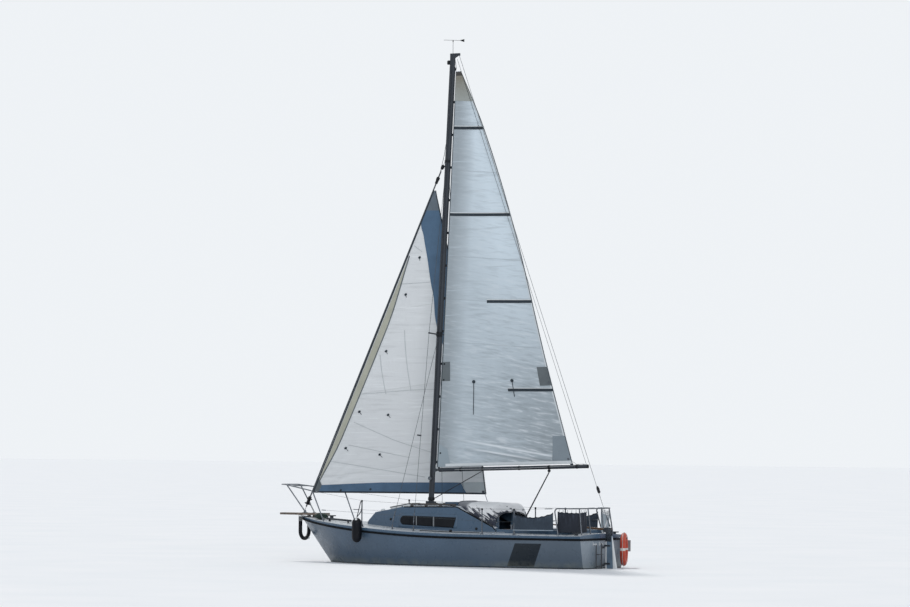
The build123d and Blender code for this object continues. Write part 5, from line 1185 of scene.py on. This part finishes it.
lines("outhaul", [[main.point(0.985, 0.01), boom_at(2.93, 0, -0.046), boom_at(3.09, 0, -0.05)]],
      0.004, ROPE_WHITE, "boom_and_sail")

clew, lead = genoa.point(0.99, 0.006), on_top(-0.55, -0.93, 0.055)
lines("genoa_sheets", [
    [clew, clew.lerp(lead, 0.5) + Vector((0, 0, -0.01)), lead, (-1.2, -0.83, 0.79), (-1.78, -0.735, 0.79)],
    [(-1.82, -0.64, 0.8), (-1.95, -0.655, 0.757), (-2.3, -0.66, 0.754)],
], 0.006, ROPE_BLUE, sides=8, soft=True)
turned("track_cars", [(on_top(-0.55, y, 0.012), UP,
                       [(0, 0.02), (0.008, 0.028), (0.036, 0.028), (0.044, 0.018)]) for y in (-0.93, 0.93)])
lines("furling_line", [[(3.26, 0.055, 1.2), (3.05, 0.25, 1.02), on_top(2.6, 0.5, 0.03)]
                       + [on_top(x, y, 0.02) for x, y in ((1.5, 0.8), (0.2, 0.92), (-1, 0.9), (-1.7, 0.8))]],
      0.004, soft=True)


# Fenders, lifebuoy and rail fittings

(fx0, fy0, _), (fx1, fy1, fz1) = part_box("fender")
fender_x, fender_y = (fx0 + fx1) / 2, (fy0 + fy1) / 2
lines("fender_lanyards", [
    [(fender_x, fender_y, fz1 + 0.012), (fender_x + k, 1, 1.06), (1.5 + k * 0.6, 0.94, 1.255)]
    for k in (-0.03, 0.03)], 0.009, ROPE_DARK, soft=True)
spot, facing = tree_of("fender").ray_cast(Vector((fender_x - 0.02, 3, fz1 - 0.03)), Vector((0, -1, 0)))[:2]
turned("fender_eye", [(spot, facing, [(-0.004, 0.024), (0.004, 0.024), (0.008, 0.016)])],
       WHITE)
STANCHIONS = [(side, x, y, z) for side in (1, -1)
              for x, y, z in ((1.5, 0.925, 1.268), (-1.35, 1.085, 1.148), (-2.05, 1.05, 1.148))]
turned("stanchion_caps", [((x, side * y, z), UP,
                           [(-0.03, 0.0165), (-0.026, 0.019), (0.002, 0.019), (0.01, 0.012)])
                          for side, x, y, z in STANCHIONS], sides=16)
turned("stanchion_bases", [((x, side * y, top_z(x, side * (y - 0.02)) - 0.004), UP,
                            [(0, 0.034), (0.006, 0.034), (0.01, 0.022), (0.055, 0.02), (0.058, 0.0165)])
                           for side, x, y, z in STANCHIONS], SHADED_STEEL, 18)
(bx0, by0, bz0), (bx1, by1, bz1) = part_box("bow_fender")
bow_x, bow_ys = (bx0 + bx1) / 2, (by1 - 0.038, by0 + 0.038)
turned("bow_fender_ends", [((bow_x, y, bz1 - 0.03), UP,
                            [(0, 0.04), (0.01, 0.043), (0.022, 0.043), (0.028, 0.04)]) for y in bow_ys]
       + [((bow_x - 0.036, by0 + 0.1, bz0 + 0.045), (-1, 0, 0), [(0, 0.024), (0.006, 0.024), (0.01, 0.014)])],
       WHITE)
turns = [k * math.pi / 6 for k in range(49)]
lines("bow_fender_lashing", [
    [(bow_x + 0.041 * math.cos(t), y + 0.041 * math.sin(t), 0.82 + 0.012 * t / math.pi) for t in turns]
    for y in bow_ys], 0.004)

ring = []
for k in range(97):
    t = 2 * math.pi * k / 96
    radius = 0.3255 + 0.018 * abs(math.sin(2 * t + math.pi / 2)) ** 0.7
    ring.append(BUOY_CENTRE + (BUOY_ACROSS * math.cos(t + math.pi / 4)
                               + Vector(UP) * math.sin(t + math.pi / 4)) * radius)
lines("lifebuoy_rope", [ring], 0.0045)

# Bottle screws at the foot of each wire
stays = [((x, side * y, z), (mast_x(high), side * out, high)) for x, y, z, high, out in
         ((0.24, 1.03, 0.8, 4.61, 0.52), (0.75, 0.99, 0.83, SPREADERS_Z, 0.05)) for side in (1, -1)]
stays.append(((-3.4, -0.43, 0.78), (-0.12, 0, MASTHEAD_Z)))
stays = [(Vector(foot), Vector(head) - Vector(foot)) for foot, head in stays]
turned("bottle_screws", [(foot + stay.normalized() * 0.03, stay,
                          [(0, 0.0075), (0.012, 0.0105), (0.05, 0.0105), (0.06, 0.008), (0.16, 0.008),
                           (0.17, 0.0105), (0.205, 0.0105), (0.215, 0.0065)]) for foot, stay in stays],
       SHADED_STEEL, 14)
foot, stay = stays[-1]
turned("backstay_tackle", [(foot + stay * 0.073, stay,
                            [(0, 0.012), (0.02, 0.028), (0.1, 0.03), (0.15, 0.016)])], sides=16)


# Deck and cabin details

CABIN_TREE = tree_of("coachroof", "windows", "coaming")


def side_hit(x, z, side):
    return Vector((x, CABIN_TREE.ray_cast(Vector((x, side * 2, z)), Vector((0, -side, 0)))[0].y, z))


def roof_edge(x, side):
    # Going outboard, the point where the roof turns down into the cabin's side
    for k in range(100):
        y = 0.42 + 0.004 * k
        z = top_z(x, side * y, 1.6)
        if z - top_z(x, side * (y + 0.012), 1.6) > 0.014:
            return [Vector((x, side * (y + 0.004), z - 0.002))]
    return []


# Three vents: a leaning one forward, and two mushroom vents aft of it
mushroom = [(0, 0.04), (0.02, 0.04), (0.034, 0.052), (0.052, 0.052), (0.062, 0.034)]
turned("roof_vents", [(on_top(1.36, 0.33, -0.004), (0.22, 0.08, 1),
                       [(0, 0.052), (0.01, 0.052), (0.014, 0.04), (0.034, 0.04), (0.042, 0.03)])]
       + [(on_top(0.05, y, -0.003), UP, mushroom) for y in (0.3, -0.3)], WHITE, 24)
turned("roof_eyes", [(on_top(x, y, -0.002), UP, [(0, 0.02), (0.012, 0.02), (0.02, 0.012)])
                     for x, y in ((0.7, 0.2), (0.7, -0.2), (0.86, 0.42), (0.86, -0.42))], SHADED_STEEL, 12)
boxes("deck_blocks", [(on_top(0.62, y, 0.014), (0.05, 0.028, 0.036)) for y in (-0.16, -0.1, 0.1, 0.16)]
      + [(on_top(-0.3, y, 0.014), (0.07, 0.03, 0.036)) for y in (-0.44, -0.4, 0.4, 0.44)],
      BLACK, "boat", 0.004)
lines("deck_lines", [
    [on_top(x, v, 0.012) for x, v in ((0.6, y), (0.3, y * 2), (-0.28, math.copysign(0.42, y)))]
    for y in (-0.1, -0.16, 0.1, 0.16)], 0.0045, soft=True)

# A dark line along the edge of the roof and down to the coamings
lines("roof_edge_dark_line", [
    [p for k in range(37) for p in roof_edge(0.71 - 0.06 * k, side)] for side in (1, -1)],
    0.012, RUBBER, sides=8, soft=True)

# The windows read as one dark strip, round at its front end and slanting aft, with two pale bars over it
NOSE, STRIP_FRONT, STRIP_AFT = 0.089, 0.77, -0.485


def cabin_face(x, z, side, out):
    low, high = side_hit(x, 0.755, side), side_hit(x, 1.022, side)
    share = (z - low.z) / (high.z - low.z)
    return Vector((x, low.y + (high.y - low.y) * share + side * out, z))


def strip_share(x):
    return (STRIP_FRONT - x) / (STRIP_FRONT - STRIP_AFT)


def strip_levels(x):
    t, ahead = strip_share(x), max(0.0, x - (STRIP_FRONT - NOSE))
    low, high = 0.802 - 0.05 * t, 0.98 - 0.022 * t
    middle, half = (low + high) / 2, (high - low) / 2 * math.sqrt(max(0.0, 1 - (ahead / NOSE) ** 2))
    return middle - half, middle + half


def on_cabin(name, xs, levels, out, slant, material, thickness):
    def layer(side):
        def at(s, t):
            x = xs[round(s * (len(xs) - 1))]
            low, high = levels(x)
            z = low + (high - low) * t
            return cabin_face(x - slant * t * strip_share(x), z, side, out), (x, z)
        return sheet_part(len(xs), 8, at)
    obj = piece(name, [two_sided(layer, -1)], material, "boat")
    solidify(obj, thickness)
    return obj


nose_xs = [STRIP_FRONT - NOSE * (1 - math.cos(math.radians(7.5 * k))) - 0.0005 for k in range(12)]
side_front = STRIP_FRONT - NOSE - 0.02
strip_xs = nose_xs + [side_front - (side_front - STRIP_AFT) * k / 30 for k in range(31)]
panes = on_cabin("window_strip", strip_xs, strip_levels, 0.0075, 0.045, PANE, 0.004)
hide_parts("windows")
on_cabin("window_surround", [0.8 - 1.36 * k / 40 for k in range(41)], lambda x: (0.742, 1.02), 0.003, 0,
         ROOF, 0.0025)
for middle, half, word in ((0.378, 0.011, "forward"), (-0.026, 0.016, "aft")):
    on_cabin(f"window_bar_{word}", [middle + half, middle - half], strip_levels, 0.011,
             -0.02 / strip_share(middle), BAR_GREY, 0.003)
turned("cabin_side_fittings", [
    (side_hit(x, z, side), (0, side, 0.1), [(-0.004, 0.026), (0.008, 0.026), (0.014, 0.018)])
    for side in (1, -1) for x, z in ((-1.02, 0.745), (1.02, 0.9))])

# The spinnaker pole stowed along the port side of the foredeck, and a bag at its forward end
POLE_LIFT = 0.052
pole = [on_top(2.56, 0.545, POLE_LIFT), on_top(1.95, 0.6, POLE_LIFT)]
lines("stowed_pole", [pole], 0.02, ANODISED, sides=16)
turned("pole_chocks", [(pole[0].lerp(pole[1], share) - Vector((0, 0, POLE_LIFT)), UP,
                        [(0, 0.026), (0.01, 0.024), (0.036, 0.016)]) for share in (0.12, 0.88)], sides=16)
verts, uvs = [], []
for j in range(18):
    for i in range(36):
        a, b = 2 * math.pi * i / 36, math.pi * (j + 0.5) / 18
        lump = 1 + 0.16 * noise.noise(Vector((math.cos(a) * 2, math.sin(a) * 2, b * 2)))
        x, y = 2.8 + 0.155 * math.cos(a) * math.sin(b) * lump, 0.36 + 0.1 * math.sin(a) * math.sin(b) * lump
        verts.append(on_top(x, y, 0.003 + 0.06 * (1 - math.cos(b)) * lump))
        uvs.append((i * 0.02, j * 0.02))
bag = piece("foredeck_bag", [(verts, closed_faces(36, 18), uvs)], GREEN_CANVAS, "boat")


# Floor, light and camera

floor_paint = Paint("pale_floor", (0.84, 0.86, 0.88), 0.9)
floor_paint.colour(floor_paint.mix(floor_paint.drift(0.4, 3), (0.82, 0.84, 0.86), (0.86, 0.87, 0.885)))
FAR = 400
mesh = bpy.data.meshes.new("floor")
mesh.from_pydata([(-FAR, -FAR, 0), (FAR, -FAR, 0), (FAR, FAR, 0), (-FAR, FAR, 0)], [], [(0, 1, 2, 3)])
mesh.materials.append(floor_paint.mat)
floor = bpy.data.objects.new("floor", mesh)
bpy.context.collection.objects.link(floor)

world = bpy.data.worlds.new("studio")
bpy.context.scene.world = world
world.use_nodes = True
tree = world.node_tree
lit, plain = tree.nodes["Background"], tree.nodes.new("ShaderNodeBackground")
for node, colour, strength in ((lit, (0.86, 0.91, 0.98, 1), 0.5), (plain, (0.86, 0.89, 0.92, 1), 1.0)):
    node.inputs["Color"].default_value = colour
    node.inputs["Strength"].default_value = strength
path_node = tree.nodes.new("ShaderNodeLightPath")
seen = path_node.outputs["Is Camera Ray"]
for ray in ("Is Glossy Ray", "Is Transmission Ray"):
    either = tree.nodes.new("ShaderNodeMath")
    either.operation = "MAXIMUM"
    tree.links.new(seen, either.inputs[0])
    tree.links.new(path_node.outputs[ray], either.inputs[1])
    seen = either.outputs[0]
choose = tree.nodes.new("ShaderNodeMixShader")
for socket, source in zip(choose.inputs, (seen, lit.outputs[0], plain.outputs[0])):
    tree.links.new(source, socket)
tree.links.new(choose.outputs[0], tree.nodes["World Output"].inputs["Surface"])


def sun(name, direction, strength, angle, colour):
    data = bpy.data.lights.new(name, "SUN")
    data.energy = strength
    data.angle = math.radians(angle)
    data.color = colour
    obj = bpy.data.objects.new(name, data)
    obj.rotation_euler = (-Vector(direction)).to_track_quat("-Z", "Y").to_euler()
    bpy.context.collection.objects.link(obj)


sun("key", (0.55, -0.35, 0.90), 1.5, 6, (1.0, 0.98, 0.95))
sun("fill", (-0.7, 0.9, 0.55), 0.9, 40, (0.95, 0.97, 1.0))

PIXELS_A_METRE, PHOTO_WIDTH, SENSOR = 50.0, 910, 36
AZIMUTH, ELEVATION, ROLL, DISTANCE = math.radians(210), math.radians(1.7), math.radians(0.45), 80.0
TARGET = Vector((-0.075, 0, 5.22))
camera_data = bpy.data.cameras.new("camera")
camera_data.sensor_width = SENSOR
camera_data.lens = SENSOR * DISTANCE / (PHOTO_WIDTH / PIXELS_A_METRE)
camera_data.clip_end = 2000
camera = bpy.data.objects.new("camera", camera_data)
camera.location = TARGET + Vector((math.sin(AZIMUTH), -math.cos(AZIMUTH), 0)) * DISTANCE
camera.location.z = DISTANCE * math.tan(ELEVATION)
look = (TARGET - camera.location).to_track_quat("-Z", "Y")
camera.rotation_mode = "QUATERNION"
camera.rotation_quaternion = look @ Matrix.Rotation(ROLL, 4, "Z").to_quaternion()
bpy.context.collection.objects.link(camera)
bpy.context.scene.camera = camera
bpy.context.scene.view_settings.view_transform = "Standard"
